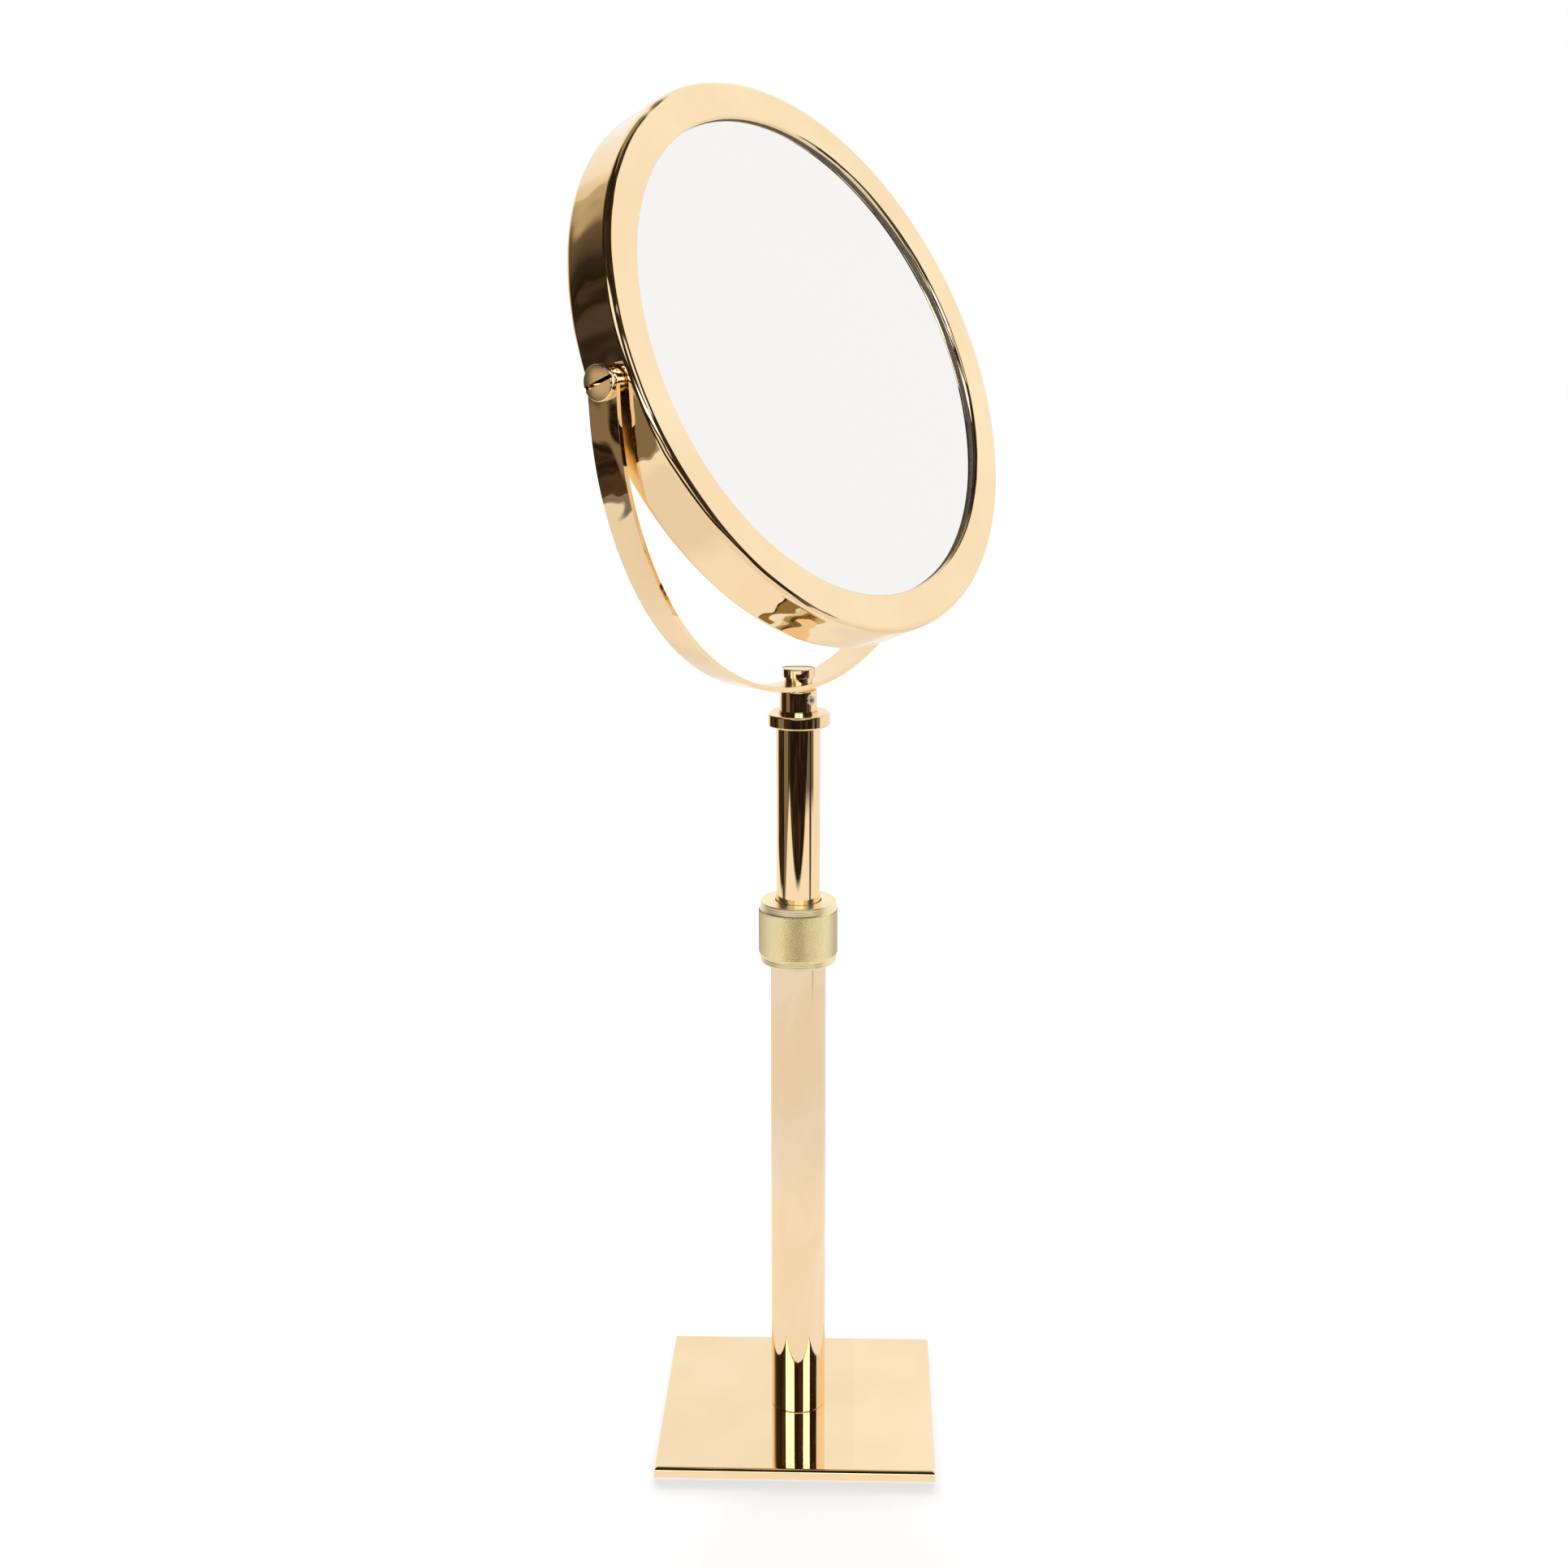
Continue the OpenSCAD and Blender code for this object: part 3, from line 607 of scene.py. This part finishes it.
class MirrorStudio(bpy.types.PropertyGroup):
    lens: FloatProperty(
        name="Lens", description="Focal length on a 36 mm frame", default=52.33, unit="CAMERA")
    boxes: strength("Soft boxes", "Strength of the three soft boxes", 2.6)
    backdrop: strength("Backdrop", "Strength of the pale backdrop", 1.04)


# ---- operators ----

SCREW_TIP = 0.3 * MM  # rounding of the screws' tips


class Piece:
    """What the operators have in common: make() does the work or raises an error."""

    bl_options = {"REGISTER", "UNDO"}

    def execute(self, context):
        self.make(context.scene)
        return {"FINISHED"}


class MIRROR_OT_base(Piece, bpy.types.Operator):
    """Square base plate with a buffed top, its pad and its screw"""

    bl_idname = "mirror.base"
    bl_label = "Base"

    def make(self, scene):
        look = scene.mirror_base
        low, high = (Vector(c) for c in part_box("base_plate"))
        half, top = high.x, high.z
        radius, steps = look.edge_round, 12
        shoulder = top - look.crown_drop - radius  # where the upright sides end
        lean = math.atan(2 * look.crown_drop / look.crown_width)

        # Runs of ((inset, height), (outward, upward)) samples from the foot to the flat top
        side = [((0.0, z), (1.0, 0.0)) for z in (low.z, shoulder)]
        rounding = []
        for k in range(steps + 1):
            t = (math.pi / 2 - lean) * k / steps
            at = (radius * (1 - math.cos(t)), shoulder + radius * math.sin(t))
            rounding.append((at, (math.cos(t), math.sin(t))))
        inset, height = rounding[-1][0]
        crown = []
        for k in range(steps + 1):
            t = k / steps
            at = (inset + look.crown_width * t, top - (top - height) * (1 - t) ** 2)
            tilt = math.atan(2 * (top - height) * (1 - t) / look.crown_width)
            crown.append((at, (math.sin(tilt), math.cos(tilt))))
        runs = [side, rounding, crown]
        quarters = (0, math.pi / 2, math.pi, 3 * math.pi / 2)
        sides = [Vector((math.cos(a), math.sin(a), 0)) for a in quarters]

        def ring(inset, z):
            r = half - inset
            return [Vector((x, y, z)) for x, y in ((r, -r), (r, r), (-r, r), (-r, -r))]

        def faces():
            for run in runs:
                for (p, pn), (q, qn) in zip(run, run[1:]):
                    lower, upper = ring(*p), ring(*q)
                    for s, out in enumerate(sides):
                        t = (s + 1) % 4
                        a, b = out * pn[0] + UP * pn[1], out * qn[0] + UP * qn[1]
                        yield [(lower[s], a), (lower[t], a), (upper[t], b), (upper[s], b)]
            yield [(v, UP) for v in ring(*crown[-1][0])]
            yield [(v, -UP) for v in reversed(ring(0.0, low.z))]

        place(build_mesh("base_slab", faces(), "plate_brass"), "base_plate")
        dress("base_pad", "base_screw", "foot_plug")


TUBE_WALL = 1.5 * MM  # of the post and of the mast


def tube_corners(node, edge, foot):
    """Section of a tube round Z with broken edges, the outer one at its foot of its own size."""
    low, high = (Vector(c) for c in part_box(node))
    r, bore = high.x, high.x - TUBE_WALL
    return [(bore, low.z, edge), (r, low.z, foot), (r, high.z, edge), (bore, high.z, edge)]


class MIRROR_OT_post(Piece, bpy.types.Operator):
    """Outer tube of the post, with the hidden clamp pieces in its top"""

    bl_idname = "mirror.post"
    bl_label = "Post"

    def make(self, scene):
        corners = tube_corners("post_tube", 0.2 * MM, 0.45 * MM)
        place(turned("post", corners, "satin_brass", steps=4), "post_tube")
        dress("clamp_ferrule", "collet", "thrust_washer", "guide_bush")


class MIRROR_OT_mast(Piece, bpy.types.Operator):
    """Sliding inner tube with its flanged cap"""

    bl_idname = "mirror.mast"
    bl_label = "Mast"

    def make(self, scene):
        corners = tube_corners("mast_tube", 0.1 * MM, 0.1 * MM)
        place(turned("mast", corners, "mast_brass", steps=4), "mast_tube")
        dress("mast_plug", "bush_circlip", "swivel_washer")
        place(refined("mast_flange", "mast_cap", 0.1 * MM), "mast_cap")


KNURL_INPUTS = (
    ("Radius", "NodeSocketFloat", 18 * MM),
    ("Foot", "NodeSocketFloat", 0.0),
    ("Height", "NodeSocketFloat", 20 * MM),
    ("Columns", "NodeSocketInt", 90),
    ("Rows", "NodeSocketInt", 20),
    ("Depth", "NodeSocketFloat", 0.4 * MM),
    ("Flat", "NodeSocketFloat", 0.2),
)


def knurl_tree():
    """Rows of small pyramids round a cylinder, each row half a step on from the last."""
    tree = bpy.data.node_groups.new("knurl", "GeometryNodeTree")
    face = tree.interface
    for name, kind, default in KNURL_INPUTS:
        face.new_socket(name, in_out="INPUT", socket_type=kind).default_value = default
    face.new_socket("Material", in_out="INPUT", socket_type="NodeSocketMaterial")
    face.new_socket("Geometry", in_out="OUTPUT", socket_type="NodeSocketGeometry")
    n = Nodes(tree)
    given = n.add("NodeGroupInput").outputs
    step = n.math("DIVIDE", given["Height"], n.math("ADD", given["Rows"], 1.0))
    girth = n.math("MULTIPLY", given["Radius"], 2 * math.pi)
    pitch = n.math("DIVIDE", girth, given["Columns"])

    # One diamond: a square on its corner, raised, with its top drawn in, stood up to face along X
    circle = n.add("GeometryNodeMeshCircle", {"Vertices": 4, "Radius": 0.5}, fill_type="NGON")
    scale = n.add("ShaderNodeCombineXYZ", {0: pitch, 1: n.math("MULTIPLY", step, 2.0), 2: 1.0})
    flat = n.add("GeometryNodeTransform",
                 {"Geometry": circle.outputs[0], "Scale": scale.outputs[0]})
    lift = n.add("ShaderNodeCombineXYZ", {2: given["Depth"]})
    raised = n.add(
        "GeometryNodeExtrudeMesh",
        {"Mesh": flat.outputs[0], "Offset": lift.outputs[0], "Offset Scale": 1.0}, mode="FACES")
    top = {"Selection": raised.outputs["Top"], "Scale": given["Flat"]}
    peak = n.add("GeometryNodeScaleElements", {"Geometry": raised.outputs[0], **top}, domain="FACE")
    upright = (math.pi / 2, 0.0, math.pi / 2)
    stood = n.add("GeometryNodeTransform", {"Geometry": peak.outputs[0], "Rotation": upright})

    # Where the diamonds stand
    count = n.math("MULTIPLY", given["Columns"], given["Rows"])
    points = n.add("GeometryNodePoints", {"Count": count})
    index = n.add("GeometryNodeInputIndex").outputs[0]
    row = n.math("FLOOR", n.math("DIVIDE", n.math("ADD", index, 0.5), given["Columns"]))
    shift = n.math("MULTIPLY", n.math("MODULO", row, 2.0), 0.5)
    place_in_row = n.math("DIVIDE", n.math("ADD", index, shift), given["Columns"])
    turn = n.math("MULTIPLY", place_in_row, 2 * math.pi)
    x = n.math("MULTIPLY", n.math("COSINE", turn), given["Radius"])
    y = n.math("MULTIPLY", n.math("SINE", turn), given["Radius"])
    z = n.math("ADD", given["Foot"], n.math("MULTIPLY", n.math("ADD", row, 1.0), step))
    spot = n.add("ShaderNodeCombineXYZ", {0: x, 1: y, 2: z})
    placed = n.add("GeometryNodeSetPosition",
                   {"Geometry": points.outputs[0], "Position": spot.outputs[0]})
    facing = n.add("ShaderNodeCombineXYZ", {2: turn})
    copies = n.add("GeometryNodeInstanceOnPoints", {
        "Points": placed.outputs[0], "Instance": stood.outputs[0], "Rotation": facing.outputs[0]})
    real = n.add("GeometryNodeRealizeInstances", {"Geometry": copies.outputs[0]})
    done = n.add("GeometryNodeSetMaterial",
                 {"Geometry": real.outputs[0], "Material": given["Material"]})
    n.tree.links.new(done.outputs[0], n.add("NodeGroupOutput").inputs[0])
    return tree


def from_tree(name, tree, **values):
    """Bakes a node tree to a plain mesh object."""
    obj = link(bpy.data.objects.new(name, bpy.data.meshes.new(name)))
    modifier = obj.modifiers.new(name, "NODES")
    modifier.node_group = tree
    for item in tree.interface.items_tree:
        if item.item_type == "SOCKET" and item.in_out == "INPUT" and item.name in values:
            modifier[item.identifier] = values[item.name]
    return bake(obj)


def join(name, pieces):
    """One plain mesh object from several."""
    first = pieces[0]
    with bpy.context.temp_override(active_object=first, object=first, selected_objects=pieces,
                                   selected_editable_objects=pieces):
        bpy.ops.object.join()
    first.name = name
    return first


class MIRROR_OT_collar(Piece, bpy.types.Operator):
    """Knurled clamp collar with its turned bands"""

    bl_idname = "mirror.collar"
    bl_label = "Knurled collar"

    def make(self, scene):
        look = scene.mirror_collar
        low, high = (Vector(c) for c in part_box("knurled_collar"))
        r, foot, top = high.x, low.z, high.z
        band = r - look.band_step
        root = r - look.knurl_depth
        clearance = 0.4 * MM
        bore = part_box("mast_tube")[1].x + clearance
        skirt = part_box("post_tube")[1].x + clearance
        rim_round = 0.56 * MM
        plain = 1.0 * MM  # height without lines at the collar's ends
        ceiling = top - 3.0 * MM  # underside of the lip that holds the washer
        neck = look.band_height + look.band_step * 0.7
        sunk = 0.02 * MM  # how far the diamonds start inside the body

        def grooves(z0, z1):
            count = max(1, int((z1 - z0) / look.groove_pitch))
            step = (z1 - z0) / count
            for k in range(count):
                yield (band, z0 + step * (k + 0.3), 0)
                yield (band - look.groove_depth, z0 + step * (k + 0.5), 0)
                yield (band, z0 + step * (k + 0.7), 0)

        corners = [(skirt, foot, 0.2 * MM), (band, foot, rim_round)]
        corners += grooves(foot + plain, foot + look.band_height - 0.2 * MM)
        corners += [(band, foot + look.band_height, 0), (root, foot + neck, 0)]
        corners += [(root, top - neck, 0), (band, top - look.band_height, 0)]
        corners += grooves(top - look.band_height + 0.2 * MM, top - plain)
        corners += [(band, top, rim_round), (bore, top, 0.15 * MM)]
        corners += [(bore, ceiling, 0), (skirt, ceiling, 0)]
        body = turned("collar_body", corners, "knurled_brass", sides=180)
        knurl = from_tree(
            "knurl", knurl_tree(), Radius=root - sunk, Depth=look.knurl_depth + sunk, Flat=0.15,
            Foot=foot + look.band_height + look.band_step * 0.5,
            Height=top - foot - 2 * look.band_height - look.band_step,
            Columns=look.columns, Rows=look.rows, Material=finish_for("knurled_brass"))
        bm = bmesh.new()
        bm.from_mesh(knurl.data)
        wrong = [f for f in bm.faces
                 if f.normal.dot(Vector((*f.calc_center_median().xy, 0))) < 0]
        bmesh.ops.reverse_faces(bm, faces=wrong)
        bm.to_mesh(knurl.data)
        bm.free()
        place(body, "knurled_collar")
        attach(knurl, "collar")


class MIRROR_OT_yoke(Piece, bpy.types.Operator):
    """Oval yoke band with its boss, grub screw, saddles and slotted screw"""

    bl_idname = "mirror.yoke"
    bl_label = "Yoke"

    def make(self, scene):
        edge = scene.mirror_yoke.edge_break
        band = place(refined("band", "yoke_band", edge, sharp=50.0), "yoke_band")
        band.data.materials.append(finish_for("band_inside"))
        middle = centre_of("rim_shell")
        for f in band.data.polygons:
            inward = (middle - f.center).normalized()
            f.material_index = int(f.normal.dot(inward) > 0.9)  # the side towards the rim
        place(refined("boss", "swivel_boss", edge * 0.5), "swivel_boss")
        place(refined("saddle", "lower_saddle", edge * 0.5), "lower_saddle")
        place(refined("saddle_washer", "upper_saddle", edge * 0.5), "upper_saddle")
        head_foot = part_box("upper_saddle")[1].z
        m = Matrix.Identity(4)
        look = scene.mirror_screws
        _, _, low, high = extent("yoke_screw", m)
        shank = [(look.thread_radius, low, SCREW_TIP)]
        place(slotted_screw("foot_screw", shank, head_foot, high, m, look), "yoke_screw")
        dress("grub_screw")


class MIRROR_OT_pivots(Piece, bpy.types.Operator):
    """Slotted pivot screws with their washers and spacers"""

    bl_idname = "mirror.pivots"
    bl_label = "Pivots"

    def make(self, scene):
        look = scene.mirror_screws
        m = mirror_frame()
        shoulder = extent("rim_shell", m)[1]
        screws = []
        for side in (1, -1):
            turn = m @ Matrix.Rotation(side * math.pi / 2, 4, "Y")
            inverse = turn.inverted()
            heights = [(inverse @ v.co).z for v in frame["nodes"]["pivot_screws"].data.vertices]
            low, high = min(h for h in heights if h > 0), max(heights)
            shank = [(look.thread_radius, low, SCREW_TIP), (look.thread_radius, shoulder, 0),
                     (look.shoulder_radius, shoulder, 0)]
            head_foot = high - look.pivot_head
            screws.append(slotted_screw("tilt_screw", shank, head_foot, high, turn, look))
        place(join("tilt_screws", screws), "pivot_screws")
        dress("pivot_blocks", "pivot_spacers", "pivot_washers")


class MIRROR_OT_rim(Piece, bpy.types.Operator):
    """Spun rim, rear bezel and the pieces inside them"""

    bl_idname = "mirror.rim"
    bl_label = "Rim and glasses"

    def make(self, scene):
        look = scene.mirror_rim
        m = mirror_frame()
        flip = m @ Matrix.Rotation(math.pi, 4, "X")
        hole, r, seam, face = extent("rim_shell", m)
        inner = r - look.wall
        under = extent("front_gasket", m)[3]
        lip = [(r, face, look.edge_round), (hole, face, look.lip_round), (hole, under, 0.1 * MM)]
        front = [(inner, seam, 0), (r, seam, 0), *lip, (inner, under, 0.5 * MM)]
        place(turned("rim", front, "polished_brass", m, **FINE_TURN), "rim_shell")

        # The rear face is pushed into the rim: its tuck is thicker and reaches past the seam
        tuck, end = inner - 1.5 * MM, -seam - 2 * MM
        rear = [(tuck, end, 0), (inner, end, 0), (inner, -seam, 0), (r, -seam, 0),
                *lip, (tuck, under, 0.5 * MM)]
        place(turned("bezel", rear, "polished_brass", flip, **FINE_TURN), "rear_bezel")
        for name, node, way in (("gasket", "front_gasket", m), ("rear_seal", "rear_gasket", flip)):
            small, large, low, high = extent(node, way)
            ring = [(small, low, 0), (large, low, 0), (large, high, 0), (small, high, 0)]
            place(turned(name, ring, "gasket", way, sides=FINE_TURN["sides"]), node)
        _, large, low, high = extent("front_glass", m)
        disc = [(0.0, low, 0), (large, low, 0.3 * MM), (large, high, 0.3 * MM), (0.0, high, 0)]
        glass = turned("glass", disc, "mirror_glass", m, sides=FINE_TURN["sides"], steps=4)
        place(glass, "front_glass")
        dress("backing_board", "spacer_ring", "magnifying_glass")


# ---- studio ----

# The room that the brass reflects. Headings are degrees round to the right of the front, which
# faces -Y, and rises are degrees up. A pair is where something starts and ends.
LEFT_BOX, RIGHT_BOX, UPPER_RISE = (-55.0, -15.0), (22.0, 52.0), (23.0, 44.0)
LOW_BOX, LOW_RISE = (-18.0, 28.0), (6.0, 22.0)
FIRST_SHARE = 0.42  # share of the upper boxes that shows in a first reflection
BACKDROP_STARTS = (84.0, 90.0)
LEFT_WALL_ENDS = (-102.0, -99.0)
BACK_WALL = (138.0, 150.0)
CEILING = (50.0, 60.0)
SHADE, SHADE_PATCHES = (0.024, 0.016, 0.01), (0.08, 0.058, 0.042)
BACK_CEILING = (0.32, 0.28, 0.15)

# Colours of the left wall along WALL_SPAN degrees from WALL_FROM, as (share, colour)
WALL_FROM, WALL_SPAN = -160.0, 60.0
LEFT_WALL = (
    (0.0, (1.0, 1.0, 1.0)),
    (0.36, (1.0, 0.97, 0.93)),
    (0.54, (0.8, 0.72, 0.58)),
    (0.56, (0.6, 0.51, 0.35)),
    (0.66, (0.48, 0.4, 0.26)),
    (0.73, (0.16, 0.125, 0.08)),
    (0.92, (0.034, 0.025, 0.016)),
)

# The table that the brass reflects: a pale top with a slanting left edge, a dark floor past it
TABLE_HALF = 6.0
SLANT = 0.31  # how far the left edge moves to the right for each metre back
TOP, FLOOR, FLOOR_PATCHES = (1.0, 0.965, 0.92), (0.03, 0.021, 0.015), (0.13, 0.078, 0.042)
# Painted shade: a dim brown glow that stands for the table's top in shade near its slanting left edge
PAINTED_SHADE_TONE = (0.24, 0.185, 0.12)

# What the camera sees of the table near the base, where the lamp adds to it, and further out
NEAR_GLOW, FAR_GLOW, GLOW_REACH = 0.575, 1.0, (0.18, 0.45)


class MIRROR_OT_studio(Piece, bpy.types.Operator):
    """Pale table, backdrop, dark room with three soft boxes, lamp and camera"""

    bl_idname = "mirror.studio"
    bl_label = "Studio"

    def make(self, scene):
        look = scene.mirror_studio
        self.room(look)
        self.table()
        self.pivot_card()
        self.lamp()
        self.camera(look)
        scene.view_settings.view_transform = "Standard"

    def room(self, look):
        """Walls, ceiling and soft boxes by heading and rise, plain white to the camera"""
        world = bpy.data.worlds.new("studio")
        bpy.context.scene.world = world
        world.use_nodes = True
        n = Nodes(world.node_tree)
        way = n.add("ShaderNodeTexCoord").outputs["Generated"]
        x, y, z = n.add("ShaderNodeSeparateXYZ", {0: way}).outputs
        turn = n.heading(x, y)
        rise = n.math("DEGREES", n.math("ARCSINE", z))

        ripple = n.math("MULTIPLY", n.math("SUBTRACT", n.noise(way, 6.0, 1.0), 0.5), 5.0)
        rippled = n.math("SUBTRACT", n.math("ADD", turn, ripple), WALL_FROM)
        wall = n.add("ShaderNodeValToRGB", {"Fac": n.math("DIVIDE", rippled, WALL_SPAN)})
        for k, (at, tone) in enumerate(LEFT_WALL):
            stop = wall.color_ramp.elements[k] if k < 2 else wall.color_ramp.elements.new(1.0)
            stop.position = at
            stop.color = colour(tone)

        patches = n.ramp(n.noise(way, 3.0, 2.0, distortion=1.5), 0.45, 0.75)
        dark = n.mix(patches, colour(SHADE), colour(SHADE_PATCHES))
        walls = n.mix(n.ramp(turn, *LEFT_WALL_ENDS), wall.outputs[0], dark)
        walls = n.mix(n.ramp(turn, *BACKDROP_STARTS), walls, colour((look.backdrop,) * 3))
        back = n.ramp(n.math("ABSOLUTE", turn), *BACK_WALL)
        ceiling = n.mix(back, dark, colour(BACK_CEILING))
        shade = n.mix(n.ramp(rise, *CEILING, 1.0, 0.0), ceiling, walls)

        path = n.add("ShaderNodeLightPath").outputs
        # 1 in a first reflection, 0 to the camera, in diffuse light and in later reflections
        first = n.window(path["Glossy Depth"], 0.5, 1.5, 0.4)
        upper = n.math("ADD", n.window(turn, *LEFT_BOX, 2.0), n.window(turn, *RIGHT_BOX, 2.0))
        upper = n.math("MULTIPLY", upper, n.ramp(first, 0.0, 1.0, 1.0, FIRST_SHARE))
        upper = n.math("MULTIPLY", upper, n.window(rise, *UPPER_RISE, 2.0))
        low = n.math("MULTIPLY", n.window(turn, *LOW_BOX, 3.0), n.window(rise, *LOW_RISE, 2.0))
        lit = n.mix(n.math("ADD", upper, low), shade, colour((look.boxes,) * 3))
        seen = n.mix(path["Is Camera Ray"], lit, colour((1.0, 1.0, 1.0)))
        sky = n.add("ShaderNodeBackground", {"Color": seen})
        n.finish(sky, "ShaderNodeOutputWorld")

    def table(self):
        """A wide table: pale to the camera, with its edges and the floor in reflections"""
        material, n = new_material("table")
        place = n.add("ShaderNodeTexCoord").outputs["Object"]
        x, y, _ = n.add("ShaderNodeSeparateXYZ", {0: place}).outputs
        turn = n.heading(x, y)
        squares = n.math("ADD", n.math("POWER", x, 2.0), n.math("POWER", y, 2.0))
        reach = n.math("SQRT", squares)
        aslant = n.math("SUBTRACT", x, n.math("MULTIPLY", y, SLANT))
        left = n.window(turn, -90.0, -50.0, 6.0)

        # How far the top gives way to the dark floor: the largest product of these pairs
        darker = [
            # past the left side, past the slanting edge, and the dusk before that edge
            (n.ramp(x, -0.9, -0.85, 1.0, 0.0), n.window(turn, -124.0, -20.0, 6.0)),
            (n.ramp(aslant, -0.735, -0.72, 1.0, 0.0), left),
            (n.ramp(aslant, -0.705, -0.68, 0.82, 0.0), left),
            # past the front, and painted dusk shade on the right beyond 1.1 metres
            (n.window(y, -1.95, -0.87, 0.05), 1.0),
            (n.ramp(reach, 1.1, 1.25, 0.0, 0.85), n.window(turn, 20.0, 88.0, 5.0)),
            # a narrow line on the right, and a little shade all round the object
            (n.ramp(y, -0.35, -0.25, 1.0, 0.0), n.window(turn, 58.0, 74.0, 5.0)),
            (n.window(reach, 0.22, 0.85, 0.15), 0.12),
        ]
        outside = 0.0
        for amount, sector in darker:
            outside = n.math("MAXIMUM", outside, n.math("MULTIPLY", amount, sector))
        patches = n.ramp(n.noise(place, 3.0, 2.0, distortion=1.0), 0.45, 0.7)
        far = n.mix(patches, colour(FLOOR), colour(FLOOR_PATCHES))
        dull = n.add("ShaderNodeBsdfDiffuse", {"Color": far})
        painted_shade = self.glow(n, PAINTED_SHADE_TONE)
        # Painted shade: on the left, near and past the slanting edge, the dim brown glow of a shaded top takes the
        # dark floor's place
        beside = n.math("MULTIPLY", n.window(turn, -77.0, -50.0, 3.0),
                        n.ramp(aslant, -0.66, -0.635, 1.0, 0.0))
        reflected = n.shader_mix(outside, self.glow(n, TOP), n.shader_mix(beside, dull, painted_shade))

        flat = n.add("ShaderNodeBsdfDiffuse", {"Color": colour((0.5, 0.5, 0.5))})
        bright = self.glow(n, (1.0, 1.0, 1.0), n.ramp(reach, *GLOW_REACH, NEAR_GLOW, FAR_GLOW))
        seen = n.add("ShaderNodeAddShader")
        n.tree.links.new(flat.outputs[0], seen.inputs[0])
        n.tree.links.new(bright.outputs[0], seen.inputs[1])
        path = n.add("ShaderNodeLightPath").outputs
        n.finish(n.shader_mix(path["Is Camera Ray"], reflected, seen))
        h = TABLE_HALF
        self.sheet("table", [(-h, -h, 0), (h, -h, 0), (h, h, 0), (-h, h, 0)], material)

    def pivot_card(self):
        """A small upright card that is seen only as the pivot head's pale reflection"""
        material, n = new_material("card")
        n.finish(self.glow(n, (0.62, 0.52, 0.37)))
        head = mirror_frame() @ Vector((-0.14, 0, 0))
        away, dip, distance = math.radians(-75.0), math.radians(-4.0), 0.06
        middle = head + distance * Vector((math.sin(away), -math.cos(away), math.tan(dip)))
        across = Vector((-middle.y, middle.x, 0)).normalized() * 18 * MM
        up = UP * 13 * MM
        corners = [middle - across - up, middle + across - up,
                   middle + across + up, middle - across + up]
        card = self.sheet("card", corners, material)
        card.visible_camera = card.visible_shadow = card.visible_diffuse = False

    @staticmethod
    def glow(n, tone, strength=1.0):
        return n.add("ShaderNodeEmission", {"Color": colour(tone), "Strength": strength})

    @staticmethod
    def sheet(name, corners, material):
        """A flat, four-cornered piece of the stage"""
        mesh = bpy.data.meshes.new(name)
        mesh.from_pydata(corners, [], [(0, 1, 2, 3)])
        mesh.materials.append(material)
        obj = link(bpy.data.objects.new(name, mesh))
        return obj

    def lamp(self):
        """A broad, low lamp behind the mirror that only lays the soft shadow before its base"""
        data = bpy.data.lights.new("lamp", "AREA")
        data.shape = "RECTANGLE"
        data.size, data.size_y = 1.2, 0.6
        data.energy = 29.0
        lamp = link(bpy.data.objects.new("lamp", data))
        lamp.location = (-0.15, 1.2, 0.47)
        lamp.rotation_euler = (math.radians(-71.0), 0.0, 0.0)
        lamp.visible_camera = lamp.visible_glossy = False

    def camera(self, look):
        """A camera a little above the glass, turned down to the stand"""
        data = bpy.data.cameras.new("camera")
        cam = link(bpy.data.objects.new("camera", data))
        yaw, pitch, roll = (math.radians(a) for a in (-1.92, -14.01, -0.09))
        level = math.cos(pitch)
        ahead = Vector((math.sin(yaw) * level, math.cos(yaw) * level, math.sin(pitch)))
        side = Vector((math.cos(yaw), -math.sin(yaw), 0))
        over = side.cross(ahead)
        across = math.cos(roll) * side + math.sin(roll) * over
        up = math.cos(roll) * over - math.sin(roll) * side
        m = Matrix((across, up, -ahead)).transposed().to_4x4()
        m.translation = Vector((0.02664, -0.98444, 0.55402))
        cam.matrix_world = m
        data.sensor_width = 36
        data.lens = look.lens
        data.clip_start = 10 * MM
        bpy.context.scene.camera = cam


class MIRROR_PT_parts(bpy.types.Panel):
    bl_idname = "MIRROR_PT_parts"
    bl_label = "Shaving mirror"
    bl_space_type = "VIEW_3D"
    bl_region_type = "UI"
    bl_category = "Shaving mirror"

    def draw(self, context):
        for operator in OPERATORS:
            self.layout.operator(operator.bl_idname)


GROUPS = {
    "mirror_finish": MirrorFinish,
    "mirror_base": MirrorBase,
    "mirror_collar": MirrorCollar,
    "mirror_screws": MirrorScrews,
    "mirror_yoke": MirrorYoke,
    "mirror_rim": MirrorRim,
    "mirror_studio": MirrorStudio,
}
OPERATORS = (
    MIRROR_OT_base,
    MIRROR_OT_post,
    MIRROR_OT_mast,
    MIRROR_OT_collar,
    MIRROR_OT_yoke,
    MIRROR_OT_pivots,
    MIRROR_OT_rim,
    MIRROR_OT_studio,
)
CLASSES = (*GROUPS.values(), *OPERATORS, MIRROR_PT_parts)


def register():
    """Adds the classes, and one property group of sizes and looks for each part of the object."""
    for c in CLASSES:
        bpy.utils.register_class(c)
    for name, group in GROUPS.items():
        setattr(bpy.types.Scene, name, PointerProperty(type=group))


def unregister():
    for name in GROUPS:
        delattr(bpy.types.Scene, name)
    for c in reversed(CLASSES):
        bpy.utils.unregister_class(c)


def main():
    """Makes every piece and the stage."""
    register()
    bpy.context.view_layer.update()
    for operator in OPERATORS:
        getattr(bpy.ops.mirror, operator.bl_idname.split(".")[1])()


if __name__ == "__main__":
    main()
